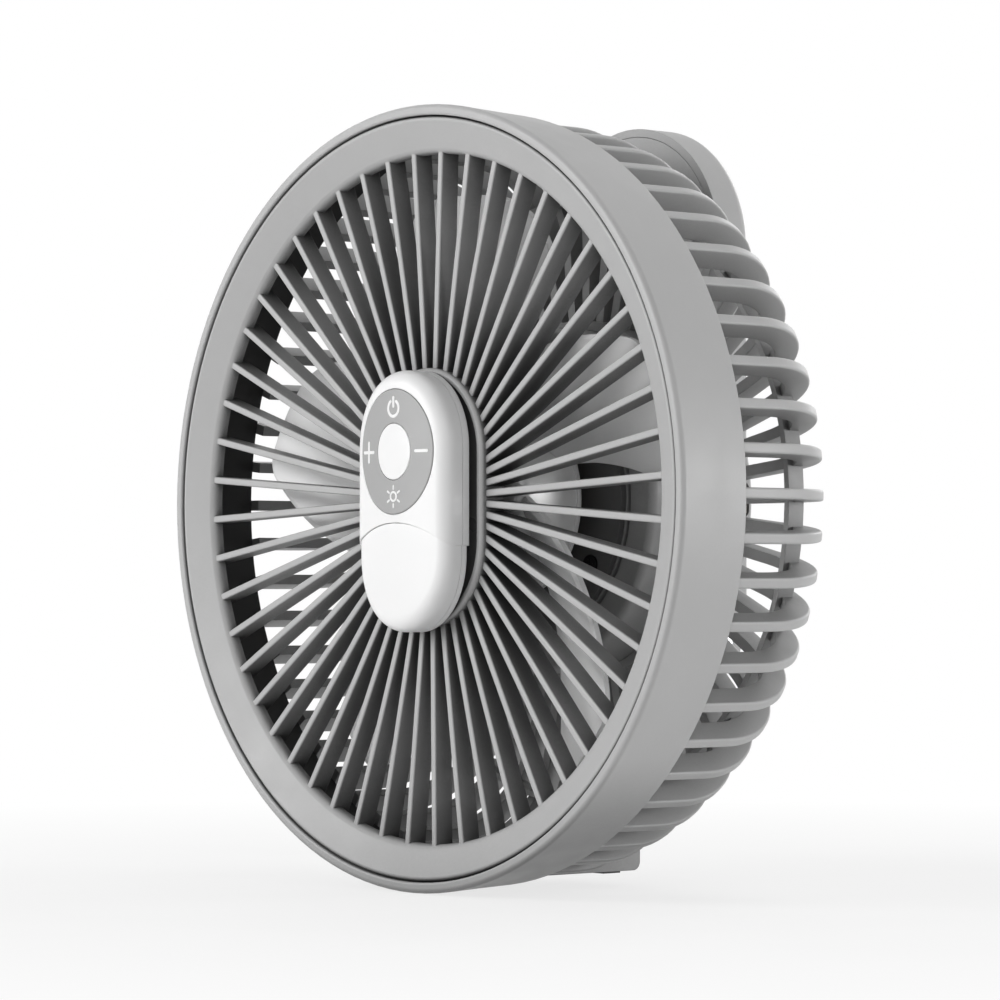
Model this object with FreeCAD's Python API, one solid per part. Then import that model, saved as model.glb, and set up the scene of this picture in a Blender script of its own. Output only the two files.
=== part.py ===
"""Portable camping fan with a docked remote, a folding stand and a cell pack.

Lengths are millimetres. The pieces are drawn about the fan's axis: the origin is
the middle of the rim's front plane, the front faces -Y and +Z is up. As each piece
is written it moves to the part frame, whose origin is the middle of the object's
base, so the rim's lowest point is at Z = 0.
"""

import FreeCAD, Part
import math
import os

# Rim band
RIM_RADIUS = 103.0
BAND_DEPTH = 22.4
BAND_TAPER = 1.0
BAND_WALL = 2.9
BAND_EDGE_ROUND = 1.3
BAND_INNER_ROUND = 0.6
SEAT_CLEARANCE = 0.1

# Front grille: bezel, spokes and the collar round the remote's dock
SEAM_WIDTH = 0.33
BEZEL_SETBACK = 0.1
BEZEL_WIDTH = 9.8
BEZEL_INNER_Y = 4.3
BEZEL_WALL = 1.8
BEZEL_REAR_Y = 9.9
BEZEL_LIP = 2.7
BEZEL_LIP_ROUND = 2.4
BEZEL_EDGE_ROUND = 0.8
SPOKE_COUNT = 52
SPOKE_PHASE_DEG = 2.68
SPOKE_WIDTH = 1.9
SPOKE_DEPTH = 5.6
SPOKE_ROOT = 3.0
SPOKE_DISH = 2.1
SPOKE_ROUND = 0.45
COLLAR_HALF_WIDTH = 22.7
COLLAR_HALF_HEIGHT = 34.0
COLLAR_WALL = 1.8
COLLAR_FRONT_Y = 4.8
COLLAR_REAR_Y = 12.4
COLLAR_LIFT = 0.3
COLLAR_ROUND = 1.1

# Duct liner
DUCT_INSET = 3.1
DUCT_WALL = 1.1
DUCT_FLANGE = 1.5
DUCT_REAR_Y = 22.3

# Rear grille
FIN_COUNT = 56
FIN_WIDTH = 2.8
FIN_DEPTH = 6.7
FIN_STAND_OUT = 0.5
FIN_CORNER_RADIUS = 30.0
FIN_CORNER_Y = 38.7
FIN_ROUND = 0.6
CAGE_RING_WALL = 1.8
HOOP_INSET = 18.5
HOOP_WALL = 1.6
HOOP_FRONT_Y = 57.2
HOOP_REAR_Y = 62.6
SEAT_RING_FRONT_Y = 58.0
FOOT_HALF_WIDTH = 15.5
FOOT_INSET = 1.5
FOOT_HEIGHT = 8.1
FOOT_REAR_Y = 67.4
FOOT_ROUND = 2.4
PAD_LENGTH = 27.0
PAD_WIDTH = 6.0
PAD_THICKNESS = 1.6
PAD_STAND_OUT = 0.6
PAD_EDGE_GAP = 3.0

# Pod that holds the motor and the cells
POD_RADIUS = 46.4
POD_FRONT_Y = 43.3
POD_WALL = 2.0
POD_FLANGE_REACH = 2.6
POD_FLANGE = 2.0
POD_ROUND = 2.0
COVER_REAR_Y = 78.0
COVER_ROUND = 2.6
COVER_SCREW_INSET = 4.2
COVER_SCREW_COUNT = 4
COVER_SCREW_START_DEG = 25.0
SCREW_RADIUS = 1.25
SCREW_HEAD_RADIUS = 2.5
SCREW_HEAD = 1.6
SCREW_LENGTH = 9.0
SCREW_RECESS = 0.5
SCREW_CLEARANCE = 0.05
SCREW_POST_RADIUS = 3.2
DRIVE_REACH = 1.4
DRIVE_HALF_WIDTH = 0.33

# Motor
MOUNT_RADIUS = 36.3
MOUNT_RING_WALL = 0.5
MOUNT_RING_HEIGHT = 0.4
MOUNT_GROOVE = 1.0
MOUNT_PLATE = 2.0
MOUNT_SCREW_CIRCLE = 30.0
MOUNT_SCREW_COUNT = 3
MOUNT_SCREW_START_DEG = -35.0
MOUNT_SCREW_LENGTH = 6.0
TUBE_WALL = 2.0
TUBE_FRONT_Y = 21.8
TUBE_REAR_Y = 48.0
BEARING_RADIUS = 6.5
BEARING_WIDTH = 5.0
BEARING_STEP = 1.2
SHAFT_RADIUS = 2.0
SHAFT_CLEARANCE = 0.02
STATOR_HEIGHT = 8.0
STATOR_FRONT_Y = 26.5
STATOR_SLOTS = 9
STATOR_CORE_RADIUS = 11.5
COIL_WIDTH = 5.6
TOOTH_HALF_WIDTH = 1.4
MOUTH_HALF_WIDTH = 0.7
TOOTH_TIP = 1.8
COIL_OVERHANG = 1.8
COIL_GAP = 0.3
AIR_GAP = 0.6
MAGNET_THICKNESS = 1.4
MAGNET_LENGTH = 10.5
BELL_WALL = 1.1
BELL_CLEARANCE = 0.06

# Fan rotor
HUB_RADIUS = 25.2
HUB_FRONT_Y = 15.6
HUB_REAR_Y = 36.8
HUB_ROUND = 4.0
HUB_WALL = 1.4
HUB_FACE = 2.8
HUB_LIP = 0.7
HUB_LIP_WIDTH = 1.1
BLADE_COUNT = 5
BLADE_AXIS_DEG = 24.0
BLADE_TIP_RADIUS = 80.5
BLADE_FRONT_Y = 17.0
BLADE_REAR_Y = 35.0
BLADE_CAMBER = 2.2
BLADE_ROOT_THICKNESS = 2.6
BLADE_TIP_THICKNESS = 1.5
BLADE_ROOT_X = 18.0
BLADE_END_X = 86.0
BLADE_SECTIONS = 6
BLADE_OVERSIZE = 4.0
BLADE_LEAD_ROUND = 12.0
BLADE_TRAIL_ROUND = 9.0
# Blade edges in the blade's own plane: distance out along its axis, then across
LEAD_ROOT = (16.0, 1.5)
LEAD_MIDDLE = (46.0, -12.0)
LEAD_TIP = (71.0, -38.0)
TRAIL_ROOT = (14.0, 19.5)
TRAIL_MIDDLE = (45.0, 21.9)
TRAIL_TIP = (79.9, 6.5)

# Cells and boards
CELL_RADIUS = 9.2
CELL_CAP_RADIUS = 3.1
CELL_LENGTH = 65.0
CELL_COUNT = 3
CELL_CLEARANCE = 0.2
CELL_Y = 64.2
HOLDER_FRONT_Y = 52.2
HOLDER_REAR_Y = 59.0
HOLDER_EDGE = 0.8
BOARD_THICKNESS = 1.6
MAIN_BOARD_HALF = 26.0
MAIN_BOARD_Y = 49.6
PORT_WIDTH = 8.94
PORT_HEIGHT = 3.26
PORT_DEPTH = 7.4
PORT_WALL = 0.35
PORT_TONGUE_HALF_WIDTH = 3.3
PORT_Y = 74.0
PORT_REACH = 48.3
PORT_CLEARANCE = 0.1
CHARGE_BOARD_WIDTH = 16.0
CHARGE_BOARD_LENGTH = 14.0
CHARGE_BOARD_THICKNESS = 1.0
POWER_BUTTON_RADIUS = 3.6
POWER_BUTTON_X = -40.6
POWER_BUTTON_ROUND = 0.5
POWER_BUTTON_PROUD = 1.0
POWER_BUTTON_FLANGE = 1.0
POWER_BUTTON_REACH = 0.45
BUTTON_CLEARANCE = 0.15
LENS_X = 41.0
LENS_HALF_WIDTH = 1.2
LENS_HALF_HEIGHT = 6.0
LENS_DEPTH = 2.2

# Stand
STAND_HALF_WIDTH = 34.0
STAND_TOP_Z = 102.5
STAND_FRONT_Y = 79.3
STAND_THICKNESS = 11.9
STAND_WALL = 2.2
STAND_ROUND = 3.0
STAND_GAP = 0.1
STAND_TONGUE_HALF_WIDTH = 21.6
SLOT_Z = 52.0
SLOT_HALF_WIDTH = 17.0
SLOT_HALF_HEIGHT = 9.0
HINGE_Z = -38.0
HINGE_BARREL_RADIUS = 5.9
HINGE_SHOULDER_GAP = 1.6
EAR_WIDTH = 8.0
WASHER_THICKNESS = 0.6
WASHER_GAP = 0.05
PIN_RADIUS = 2.5
PIN_CLEARANCE = 0.05

# Remote
REMOTE_HALF_WIDTH = 18.5
REMOTE_HALF_HEIGHT = 34.4
REMOTE_END_HEIGHT = 20.4
REMOTE_DROP = 1.0
REMOTE_FRONT_Y = -5.7
REMOTE_BACK_Y = 4.6
REMOTE_PART_Y = 2.0
REMOTE_CROWN_RADIUS = 79.0
REMOTE_FRONT_ROUND = 4.4
REMOTE_BACK_ROUND = 0.6
REMOTE_WALL = 1.4
REMOTE_SEAM = 0.15
DOOR_ARCH_TOP_Z = -6.4
DOOR_ARCH_RADIUS = 31.0
DOOR_STEP = 0.45
RING_LIFT = 12.1
RING_HALF_WIDTH = 14.4
RING_HALF_HEIGHT = 16.3
RING_PROUD = 0.15
RING_REAR_Y = -1.6
RING_FLANGE = 0.6
RING_FLANGE_REACH = 0.8
RING_TRAVEL = 0.4
KEY_HALF_WIDTH = 6.6
KEY_HALF_HEIGHT = 7.35
KEY_PROUD = 0.25
KEY_FLANGE = 1.0
KEY_ROUND = 0.25
REMOTE_BOARD_Y = 1.2
REMOTE_BOARD_THICKNESS = 0.8
REMOTE_BOARD_INSET = 3.4
COIN_RADIUS = 10.0
COIN_THICKNESS = 3.2
COIN_ROUND = 0.4
COIN_Y = -2.2
COIN_Z = -20.0
EMITTER_RADIUS = 1.4
EMITTER_LENGTH = 5.0
DISC_RADIUS = 5.0
DISC_THICKNESS = 0.6
DISC_Z = 19.0

# Remote dock and lamp
DOCK_GAP = 0.15
DOCK_HALF_WIDTH = 16.4
DOCK_HALF_HEIGHT = 27.7
DOCK_WALL = 1.3
DOCK_ROUND = 0.5
LAMP_FRONT_Y = 6.0
LAMP_THICKNESS = 1.2
LAMP_BOARD_Y = 8.0
LAMP_BOARD_THICKNESS = 1.0
LAMP_CHIP = 0.7
LAMP_CHIP_COUNT = 12
DOCK_FLANGE = 1.2
DOCK_COVER = 1.6
MAGNET_RADIUS = 5.0
MAGNET_HEIGHT = 2.0
DOCK_SCREW_Z = 8.0
DOCK_SCREW_LENGTH = 5.5

# Values worked out from the ones above
TURN_DEG = 360.0
PLANE_TOLERANCE = 0.01
BAND_REAR_RADIUS = RIM_RADIUS - BAND_TAPER
BAND_BORE_RADIUS = RIM_RADIUS - BAND_WALL
BEZEL_INNER_RADIUS = BAND_BORE_RADIUS - BEZEL_WIDTH
SLOPE_REACH = BEZEL_INNER_RADIUS - COLLAR_HALF_WIDTH
DUCT_INNER_RADIUS = BAND_BORE_RADIUS - DUCT_INSET
FIN_OUTER_RADIUS = BAND_BORE_RADIUS + FIN_STAND_OUT
FIN_INNER_RADIUS = FIN_OUTER_RADIUS - FIN_DEPTH
HOOP_RADIUS = FIN_OUTER_RADIUS - HOOP_INSET
FOOT_BOTTOM_Z = FOOT_INSET - FIN_OUTER_RADIUS
FOOT_TOP_Z = FOOT_BOTTOM_Z + FOOT_HEIGHT
POD_FLANGE_RADIUS = POD_RADIUS + POD_FLANGE_REACH
SEAT_RING_RADIUS = POD_FLANGE_RADIUS
COVER_SCREW_CIRCLE = POD_RADIUS - COVER_SCREW_INSET
FIN_CORNER_AXIS = FIN_OUTER_RADIUS - FIN_CORNER_RADIUS
CAGE_REAR_Y = FIN_CORNER_Y + FIN_CORNER_RADIUS
CAGE_RING_RADIUS = BAND_BORE_RADIUS - SEAT_CLEARANCE
DUCT_FRONT_Y = BEZEL_REAR_Y + SEAT_CLEARANCE
CAGE_RING_FRONT_Y = DUCT_FRONT_Y + DUCT_FLANGE + SEAT_CLEARANCE
FLANGE_FRONT_Y = CAGE_REAR_Y + SEAT_CLEARANCE
FLANGE_REAR_Y = FLANGE_FRONT_Y + POD_FLANGE
COVER_FRONT_Y = FLANGE_REAR_Y + SEAT_CLEARANCE
COVER_INNER_Y = COVER_REAR_Y - POD_WALL
MOUNT_FRONT_Y = POD_FRONT_Y - MOUNT_PLATE
TUBE_RADIUS = BEARING_RADIUS + TUBE_WALL
BELL_RADIUS = HUB_RADIUS - HUB_WALL - BELL_CLEARANCE
BELL_FRONT_Y = HUB_FRONT_Y + HUB_FACE
MAGNET_OUTER = BELL_RADIUS - BELL_WALL
MAGNET_INNER = MAGNET_OUTER - MAGNET_THICKNESS
STATOR_REACH = MAGNET_INNER - AIR_GAP
STAND_REAR_Y = STAND_FRONT_Y + STAND_THICKNESS
HINGE_Y = STAND_FRONT_Y + STAND_THICKNESS / 2
COLLAR_INNER_WIDTH = COLLAR_HALF_WIDTH - COLLAR_WALL
COLLAR_INNER_HEIGHT = COLLAR_HALF_HEIGHT - COLLAR_WALL
INSERT_WIDTH = COLLAR_INNER_WIDTH - SEAT_CLEARANCE
INSERT_HEIGHT = COLLAR_INNER_HEIGHT - SEAT_CLEARANCE
DOCK_FRONT_Y = REMOTE_BACK_Y + DOCK_GAP
DOCK_FLANGE_Y = LAMP_BOARD_Y + LAMP_BOARD_THICKNESS
DOCK_COVER_Y = DOCK_FLANGE_Y + DOCK_FLANGE + SEAT_CLEARANCE
OBJECT_FRONT_Y = REMOTE_FRONT_Y - KEY_PROUD
OBJECT_MIDDLE_Y = (OBJECT_FRONT_Y + STAND_REAR_Y) / 2
TO_PART_FRAME = FreeCAD.Vector(0, -OBJECT_MIDDLE_Y, RIM_RADIUS)
AXIS_Y = FreeCAD.Vector(0, 1, 0)
AXIS_Z = FreeCAD.Vector(0, 0, 1)
AXIS_X = FreeCAD.Vector(1, 0, 0)
CENTRE = FreeCAD.Vector(0, 0, 0)


def vec(x, y, z):
    return FreeCAD.Vector(x, y, z)


def disc(radius, front, rear, x=0.0, z=0.0):
    """Solid cylinder along Y."""
    return Part.makeCylinder(radius, rear - front, vec(x, front, z), AXIS_Y)


def ring(outer, inner, front, rear, x=0.0, z=0.0):
    """Flat or tall ring along Y."""
    return disc(outer, front, rear, x, z).cut(disc(inner, front - 1, rear + 1, x, z))


def box(low, high):
    """Box between two opposite corners."""
    return Part.makeBox(high[0] - low[0], high[1] - low[1], high[2] - low[2], vec(*low))


def turned(profile):
    """Solid of revolution about Y from a list of (radius, y) corners."""
    wire = Part.makePolygon([vec(r, y, 0) for r, y in profile + profile[:1]])
    return Part.Face(wire).revolve(CENTRE, AXIS_Y, TURN_DEG)


def end_arc(half_width, end_height, x, z, up):
    """Half ellipse that closes the top or the bottom of a pill."""
    middle = vec(x, 0, z)
    side = vec(x + up * half_width, 0, z)
    tip = vec(x, 0, z + up * end_height)
    if abs(end_height - half_width) < Part.Precision.confusion():
        left = vec(x - half_width, 0, z)
        right = vec(x + half_width, 0, z)
        return Part.Arc(right, tip, left).toShape()
    ellipse = Part.Ellipse(tip, side, middle)
    return Part.ArcOfEllipse(ellipse, -math.pi / 2, math.pi / 2).toShape()


def pill(half_width, half_height, front, rear, x=0.0, z=0.0, end_height=None):
    """Upright prism with straight sides and round ends, along Y."""
    reach = half_width if end_height is None else end_height
    straight = half_height - reach
    top = end_arc(half_width, reach, x, z + straight, 1)
    bottom = end_arc(half_width, reach, x, z - straight, -1)
    left = Part.makeLine(vec(x - half_width, 0, z + straight), vec(x - half_width, 0, z - straight))
    right = Part.makeLine(vec(x + half_width, 0, z - straight), vec(x + half_width, 0, z + straight))
    wire = Part.Wire(Part.__sortEdges__([top, left, bottom, right]))
    solid = Part.Face(wire).extrude(vec(0, rear - front, 0))
    solid.translate(vec(0, front, 0))
    return solid


def oval(half_width, half_height, front, rear, z=0.0):
    """Upright elliptic cylinder along Y."""
    ellipse = Part.Ellipse(vec(0, 0, z + half_height), vec(half_width, 0, z), vec(0, 0, z))
    solid = Part.Face(Part.Wire(ellipse.toShape())).extrude(vec(0, rear - front, 0))
    solid.translate(vec(0, front, 0))
    return solid


def edges_at_y(shape, y):
    """Edges that lie wholly in the plane at this y."""
    found = []
    for edge in shape.Edges:
        bounds = edge.BoundBox
        if abs(bounds.YMin - y) < PLANE_TOLERANCE and abs(bounds.YMax - y) < PLANE_TOLERANCE:
            found.append(edge)
    return found


def round_at_y(shape, y, radius):
    return shape.makeFillet(radius, edges_at_y(shape, y))


def turn(shape, angle):
    """Copy of a shape turned about the fan's axis, from +X towards +Z."""
    copy = shape.copy()
    copy.rotate(CENTRE, AXIS_Y, -angle)
    return copy


def around(shape, count, start=0.0):
    return [turn(shape, start + k * TURN_DEG / count) for k in range(count)]


def circle_points(radius, count, start):
    """Points on a circle about the fan's axis, as (x, z)."""
    points = []
    for k in range(count):
        angle = math.radians(start + k * TURN_DEG / count)
        points.append((radius * math.cos(angle), radius * math.sin(angle)))
    return points


def write(name, shape):
    """Move a piece to the part frame and write it."""
    placed = shape.copy()
    placed.translate(TO_PART_FRAME)
    placed.exportStep(os.path.join("parts", name + ".step"))
    print(name, "solids", len(placed.Solids), "volume", round(placed.Volume, 1), placed.isValid())


# Rim and grilles


def rim_band():
    """Side wall of the fan, a little narrower at the rear."""
    profile = [
        (BAND_BORE_RADIUS, 0),
        (RIM_RADIUS, 0),
        (BAND_REAR_RADIUS, BAND_DEPTH),
        (BAND_BORE_RADIUS, BAND_DEPTH),
    ]
    band = turned(profile)
    outer = max(edges_at_y(band, 0), key=lambda edge: edge.BoundBox.XMax)
    band = band.makeFillet(BAND_EDGE_ROUND, [outer])
    inner = min(edges_at_y(band, 0), key=lambda edge: edge.BoundBox.XMax)
    return band.makeFillet(BAND_INNER_ROUND, [inner])


def bezel():
    """Sloping front ring with a skirt that fits inside the band."""
    outer = BAND_BORE_RADIUS - SEAM_WIDTH
    skirt = outer - BEZEL_WALL
    inner = BEZEL_INNER_RADIUS
    profile = [
        (outer, BEZEL_SETBACK),
        (inner, BEZEL_INNER_Y),
        (inner, BEZEL_INNER_Y + BEZEL_LIP),
        (inner + BEZEL_LIP, BEZEL_INNER_Y + BEZEL_LIP),
        (skirt, BEZEL_SETBACK + BEZEL_WALL + BEZEL_WALL),
        (skirt, BEZEL_REAR_Y),
        (outer, BEZEL_REAR_Y),
    ]
    body = round_at_y(turned(profile), BEZEL_SETBACK, BEZEL_EDGE_ROUND)
    return round_at_y(body, BEZEL_INNER_Y, BEZEL_LIP_ROUND)


def spoke():
    """One straight bar of the front grille, along +X."""
    outer = BEZEL_INNER_RADIUS + SPOKE_ROOT
    inner = COLLAR_HALF_WIDTH - COLLAR_WALL
    front = BEZEL_INNER_Y
    dished = front + SPOKE_DISH
    corners = [
        vec(outer, front, -SPOKE_WIDTH / 2),
        vec(inner, dished, -SPOKE_WIDTH / 2),
        vec(inner, dished + SPOKE_DEPTH, -SPOKE_WIDTH / 2),
        vec(outer, front + SPOKE_DEPTH, -SPOKE_WIDTH / 2),
    ]
    bar = Part.Face(Part.makePolygon(corners + corners[:1])).extrude(vec(0, 0, SPOKE_WIDTH))
    slope = (dished - front) / (outer - inner)
    rounded = []
    for edge in bar.Edges:
        middle = edge.CenterOfMass
        along_front = front + (outer - middle.x) * slope
        if edge.Length > SLOPE_REACH / 2 and abs(middle.y - along_front) < SPOKE_DEPTH / 4:
            rounded.append(edge)
    return bar.makeFillet(SPOKE_ROUND, rounded)


def front_grille():
    """Bezel, spokes and the pill-shaped collar as one moulding."""
    collar_core = pill(
        COLLAR_HALF_WIDTH - COLLAR_WALL / 2,
        COLLAR_HALF_HEIGHT - COLLAR_WALL / 2,
        COLLAR_FRONT_Y - 1,
        COLLAR_REAR_Y + SPOKE_DEPTH,
        z=COLLAR_LIFT,
    )
    bars = [bar.cut(collar_core) for bar in around(spoke(), SPOKE_COUNT, SPOKE_PHASE_DEG)]
    collar = pill(COLLAR_HALF_WIDTH, COLLAR_HALF_HEIGHT, COLLAR_FRONT_Y, COLLAR_REAR_Y, z=COLLAR_LIFT)
    collar = round_at_y(collar, COLLAR_FRONT_Y, COLLAR_ROUND)
    bore = pill(
        COLLAR_INNER_WIDTH, COLLAR_INNER_HEIGHT, COLLAR_FRONT_Y - 1, COLLAR_REAR_Y + 1, z=COLLAR_LIFT
    )
    collar = collar.cut(bore)
    return bezel().fuse([collar] + bars)


def duct_ring():
    """Dark liner that leads the air past the blade tips."""
    outer = DUCT_INNER_RADIUS + DUCT_WALL
    rim = CAGE_RING_RADIUS - SEAT_CLEARANCE
    profile = [
        (DUCT_INNER_RADIUS, DUCT_FRONT_Y),
        (rim, DUCT_FRONT_Y),
        (rim, DUCT_FRONT_Y + DUCT_FLANGE),
        (outer, DUCT_FRONT_Y + DUCT_FLANGE),
        (outer, DUCT_REAR_Y),
        (DUCT_INNER_RADIUS, DUCT_REAR_Y),
    ]
    return turned(profile)


def fin():
    """One bar of the rear grille: along the side, round the corner, in to the pod."""
    front = CAGE_RING_FRONT_Y + FIN_WIDTH
    step = BAND_DEPTH + SEAT_CLEARANCE
    inset = CAGE_RING_RADIUS - SEAT_CLEARANCE
    tongue = CAGE_RING_RADIUS - CAGE_RING_WALL + SEAT_CLEARANCE
    start = SEAT_RING_RADIUS - FIN_WIDTH / 2
    middle = math.sqrt(0.5)
    inner_corner = FIN_CORNER_RADIUS - FIN_DEPTH
    low = -FIN_WIDTH / 2

    def corner(radius, part_x, part_y):
        return vec(FIN_CORNER_AXIS + radius * part_x, FIN_CORNER_Y + radius * part_y, low)

    edges = [
        Part.makeLine(vec(start, CAGE_REAR_Y, low), corner(FIN_CORNER_RADIUS, 0, 1)),
        Part.Arc(
            corner(FIN_CORNER_RADIUS, 0, 1),
            corner(FIN_CORNER_RADIUS, middle, middle),
            corner(FIN_CORNER_RADIUS, 1, 0),
        ).toShape(),
        Part.makeLine(corner(FIN_CORNER_RADIUS, 1, 0), vec(FIN_OUTER_RADIUS, step, low)),
        Part.makeLine(vec(FIN_OUTER_RADIUS, step, low), vec(inset, step, low)),
        Part.makeLine(vec(inset, step, low), vec(inset, front, low)),
        Part.makeLine(vec(inset, front, low), vec(tongue, front, low)),
        Part.makeLine(vec(tongue, front, low), vec(tongue, step, low)),
        Part.makeLine(vec(tongue, step, low), vec(FIN_INNER_RADIUS, step, low)),
        Part.makeLine(vec(FIN_INNER_RADIUS, step, low), corner(inner_corner, 1, 0)),
        Part.Arc(
            corner(inner_corner, 1, 0),
            corner(inner_corner, middle, middle),
            corner(inner_corner, 0, 1),
        ).toShape(),
        Part.makeLine(corner(inner_corner, 0, 1), vec(start, CAGE_REAR_Y - FIN_DEPTH, low)),
        Part.makeLine(vec(start, CAGE_REAR_Y - FIN_DEPTH, low), vec(start, CAGE_REAR_Y, low)),
    ]
    bar = Part.Face(Part.Wire(edges)).extrude(vec(0, 0, FIN_WIDTH))
    rounded = []
    for edge in bar.Edges:
        spot = edge.valueAt((edge.FirstParameter + edge.LastParameter) / 2)
        flat = abs(edge.BoundBox.ZLength) < FIN_ROUND / 4
        on_side = abs(spot.x - FIN_OUTER_RADIUS) < FIN_ROUND and spot.y > step + FIN_ROUND
        on_back = abs(spot.y - CAGE_REAR_Y) < FIN_ROUND and spot.x > start + FIN_ROUND
        away = math.hypot(spot.x - FIN_CORNER_AXIS, spot.y - FIN_CORNER_Y)
        on_corner = abs(away - FIN_CORNER_RADIUS) < FIN_ROUND and spot.x > FIN_CORNER_AXIS + FIN_ROUND
        if flat and (on_side or on_back or (on_corner and spot.y > FIN_CORNER_Y)):
            rounded.append(edge)
    return bar.makeFillet(FIN_ROUND, rounded)


def foot_block():
    """Flat foot under the rear grille, with shallow seats for the rubber pads."""
    front = BAND_DEPTH + SEAT_CLEARANCE
    block = box(
        (-FOOT_HALF_WIDTH, front, FOOT_BOTTOM_Z),
        (FOOT_HALF_WIDTH, FOOT_REAR_Y, FOOT_TOP_Z),
    )
    low_rear = []
    for edge in block.Edges:
        middle = edge.CenterOfMass
        at_rear = abs(middle.y - FOOT_REAR_Y) < FOOT_ROUND / 4
        if at_rear and abs(middle.z - FOOT_BOTTOM_Z) < FOOT_ROUND / 4:
            low_rear.append(edge)
    block = block.makeFillet(FOOT_ROUND, low_rear)
    for y in pad_places():
        block = block.cut(pad_box(y, SEAT_CLEARANCE))
    return block


def pad_places():
    """Front edges of the two rubber pads."""
    first = BAND_DEPTH + PAD_EDGE_GAP
    last = FOOT_REAR_Y - FOOT_ROUND - PAD_EDGE_GAP - PAD_WIDTH
    return [first, last]


def pad_box(y, clearance):
    low = FOOT_BOTTOM_Z - PAD_STAND_OUT
    half = PAD_LENGTH / 2 + clearance
    top = low + PAD_THICKNESS + clearance
    return box((-half, y - clearance, low), (half, y + PAD_WIDTH + clearance, top))


def rear_grille():
    """Fins, hoop, mounting rings and foot as one moulding."""
    cage = ring(CAGE_RING_RADIUS, CAGE_RING_RADIUS - CAGE_RING_WALL, CAGE_RING_FRONT_Y, BAND_DEPTH)
    hoop = ring(HOOP_RADIUS, HOOP_RADIUS - HOOP_WALL, HOOP_FRONT_Y, HOOP_REAR_Y)
    seat = ring(SEAT_RING_RADIUS, POD_RADIUS + SEAT_CLEARANCE, SEAT_RING_FRONT_Y, CAGE_REAR_Y)
    bars = around(fin(), FIN_COUNT)
    grille = cage.fuse(bars + [hoop, seat, foot_block()])
    for y in pad_places():
        grille = grille.cut(pad_box(y, SEAT_CLEARANCE))
    below_foot = box(
        (-FOOT_HALF_WIDTH, BAND_DEPTH, -RIM_RADIUS),
        (FOOT_HALF_WIDTH, FOOT_REAR_Y, FOOT_BOTTOM_Z),
    )
    return grille.cut(below_foot)


# Motor and rotor


def motor_base():
    """Dark mounting disc with the bearing tube."""
    flange = disc(MOUNT_RADIUS, MOUNT_FRONT_Y, POD_FRONT_Y)
    tube = disc(TUBE_RADIUS, TUBE_FRONT_Y, TUBE_REAR_Y)
    body = flange.fuse(tube)
    body = body.cut(disc(BEARING_RADIUS - BEARING_STEP, TUBE_FRONT_Y - 1, TUBE_REAR_Y + 1))
    for front, rear in bearing_places():
        body = body.cut(disc(BEARING_RADIUS, front, rear))
    for x, z in mount_screw_points():
        body = body.cut(disc(SCREW_RADIUS + SCREW_CLEARANCE, MOUNT_FRONT_Y - 1, POD_FRONT_Y + 1, x, z))
        head_floor = MOUNT_FRONT_Y + MOUNT_PLATE / 2
        body = body.cut(disc(SCREW_HEAD_RADIUS + SEAT_CLEARANCE, MOUNT_FRONT_Y - 1, head_floor, x, z))
    return body


def bearing_places():
    return [
        (TUBE_FRONT_Y, TUBE_FRONT_Y + BEARING_WIDTH),
        (TUBE_REAR_Y - BEARING_WIDTH, TUBE_REAR_Y),
    ]


def mount_screw_points():
    return circle_points(MOUNT_SCREW_CIRCLE, MOUNT_SCREW_COUNT, MOUNT_SCREW_START_DEG)


def bearing(place):
    front, rear = place
    body = ring(BEARING_RADIUS - SHAFT_CLEARANCE, SHAFT_RADIUS + SHAFT_CLEARANCE, front, rear)
    return body


def screw(x, z, seat, direction, length):
    """Pan head screw whose head rests on the plane at seat; direction is -1 or +1 in Y."""
    head_low = min(seat, seat - direction * SCREW_HEAD)
    head = disc(SCREW_HEAD_RADIUS, head_low, head_low + SCREW_HEAD, x, z)
    shank_low = min(seat, seat + direction * length)
    shank = disc(SCREW_RADIUS, shank_low, shank_low + length, x, z)
    drive = DRIVE_REACH
    width = DRIVE_HALF_WIDTH
    outer = seat - direction * SCREW_HEAD
    inner = seat - direction * SCREW_HEAD / 2
    low, high = min(outer, inner), max(outer, inner)
    cross = box((x - drive, low, z - width), (x + drive, high, z + width))
    cross = cross.fuse(box((x - width, low, z - drive), (x + width, high, z + drive)))
    return head.fuse(shank).cut(cross)


def stator_core():
    """Laminated core with wide tooth tips."""
    rear = STATOR_FRONT_Y + STATOR_HEIGHT
    core = ring(STATOR_REACH, TUBE_RADIUS + SHAFT_CLEARANCE, STATOR_FRONT_Y, rear)
    tip = STATOR_REACH - TOOTH_TIP
    slot_body = ring(tip, STATOR_CORE_RADIUS, STATOR_FRONT_Y - 1, rear + 1)
    teeth = box(
        (STATOR_CORE_RADIUS - 1, STATOR_FRONT_Y - 2, -TOOTH_HALF_WIDTH),
        (STATOR_REACH, rear + 2, TOOTH_HALF_WIDTH),
    )
    for tooth in around(teeth, STATOR_SLOTS):
        slot_body = slot_body.cut(tooth)
    mouth = box(
        (tip - 1, STATOR_FRONT_Y - 1, -MOUTH_HALF_WIDTH),
        (STATOR_REACH + 1, rear + 1, MOUTH_HALF_WIDTH),
    )
    core = core.cut(slot_body)
    for cut in around(mouth, STATOR_SLOTS, TURN_DEG / STATOR_SLOTS / 2):
        core = core.cut(cut)
    return core


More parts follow.
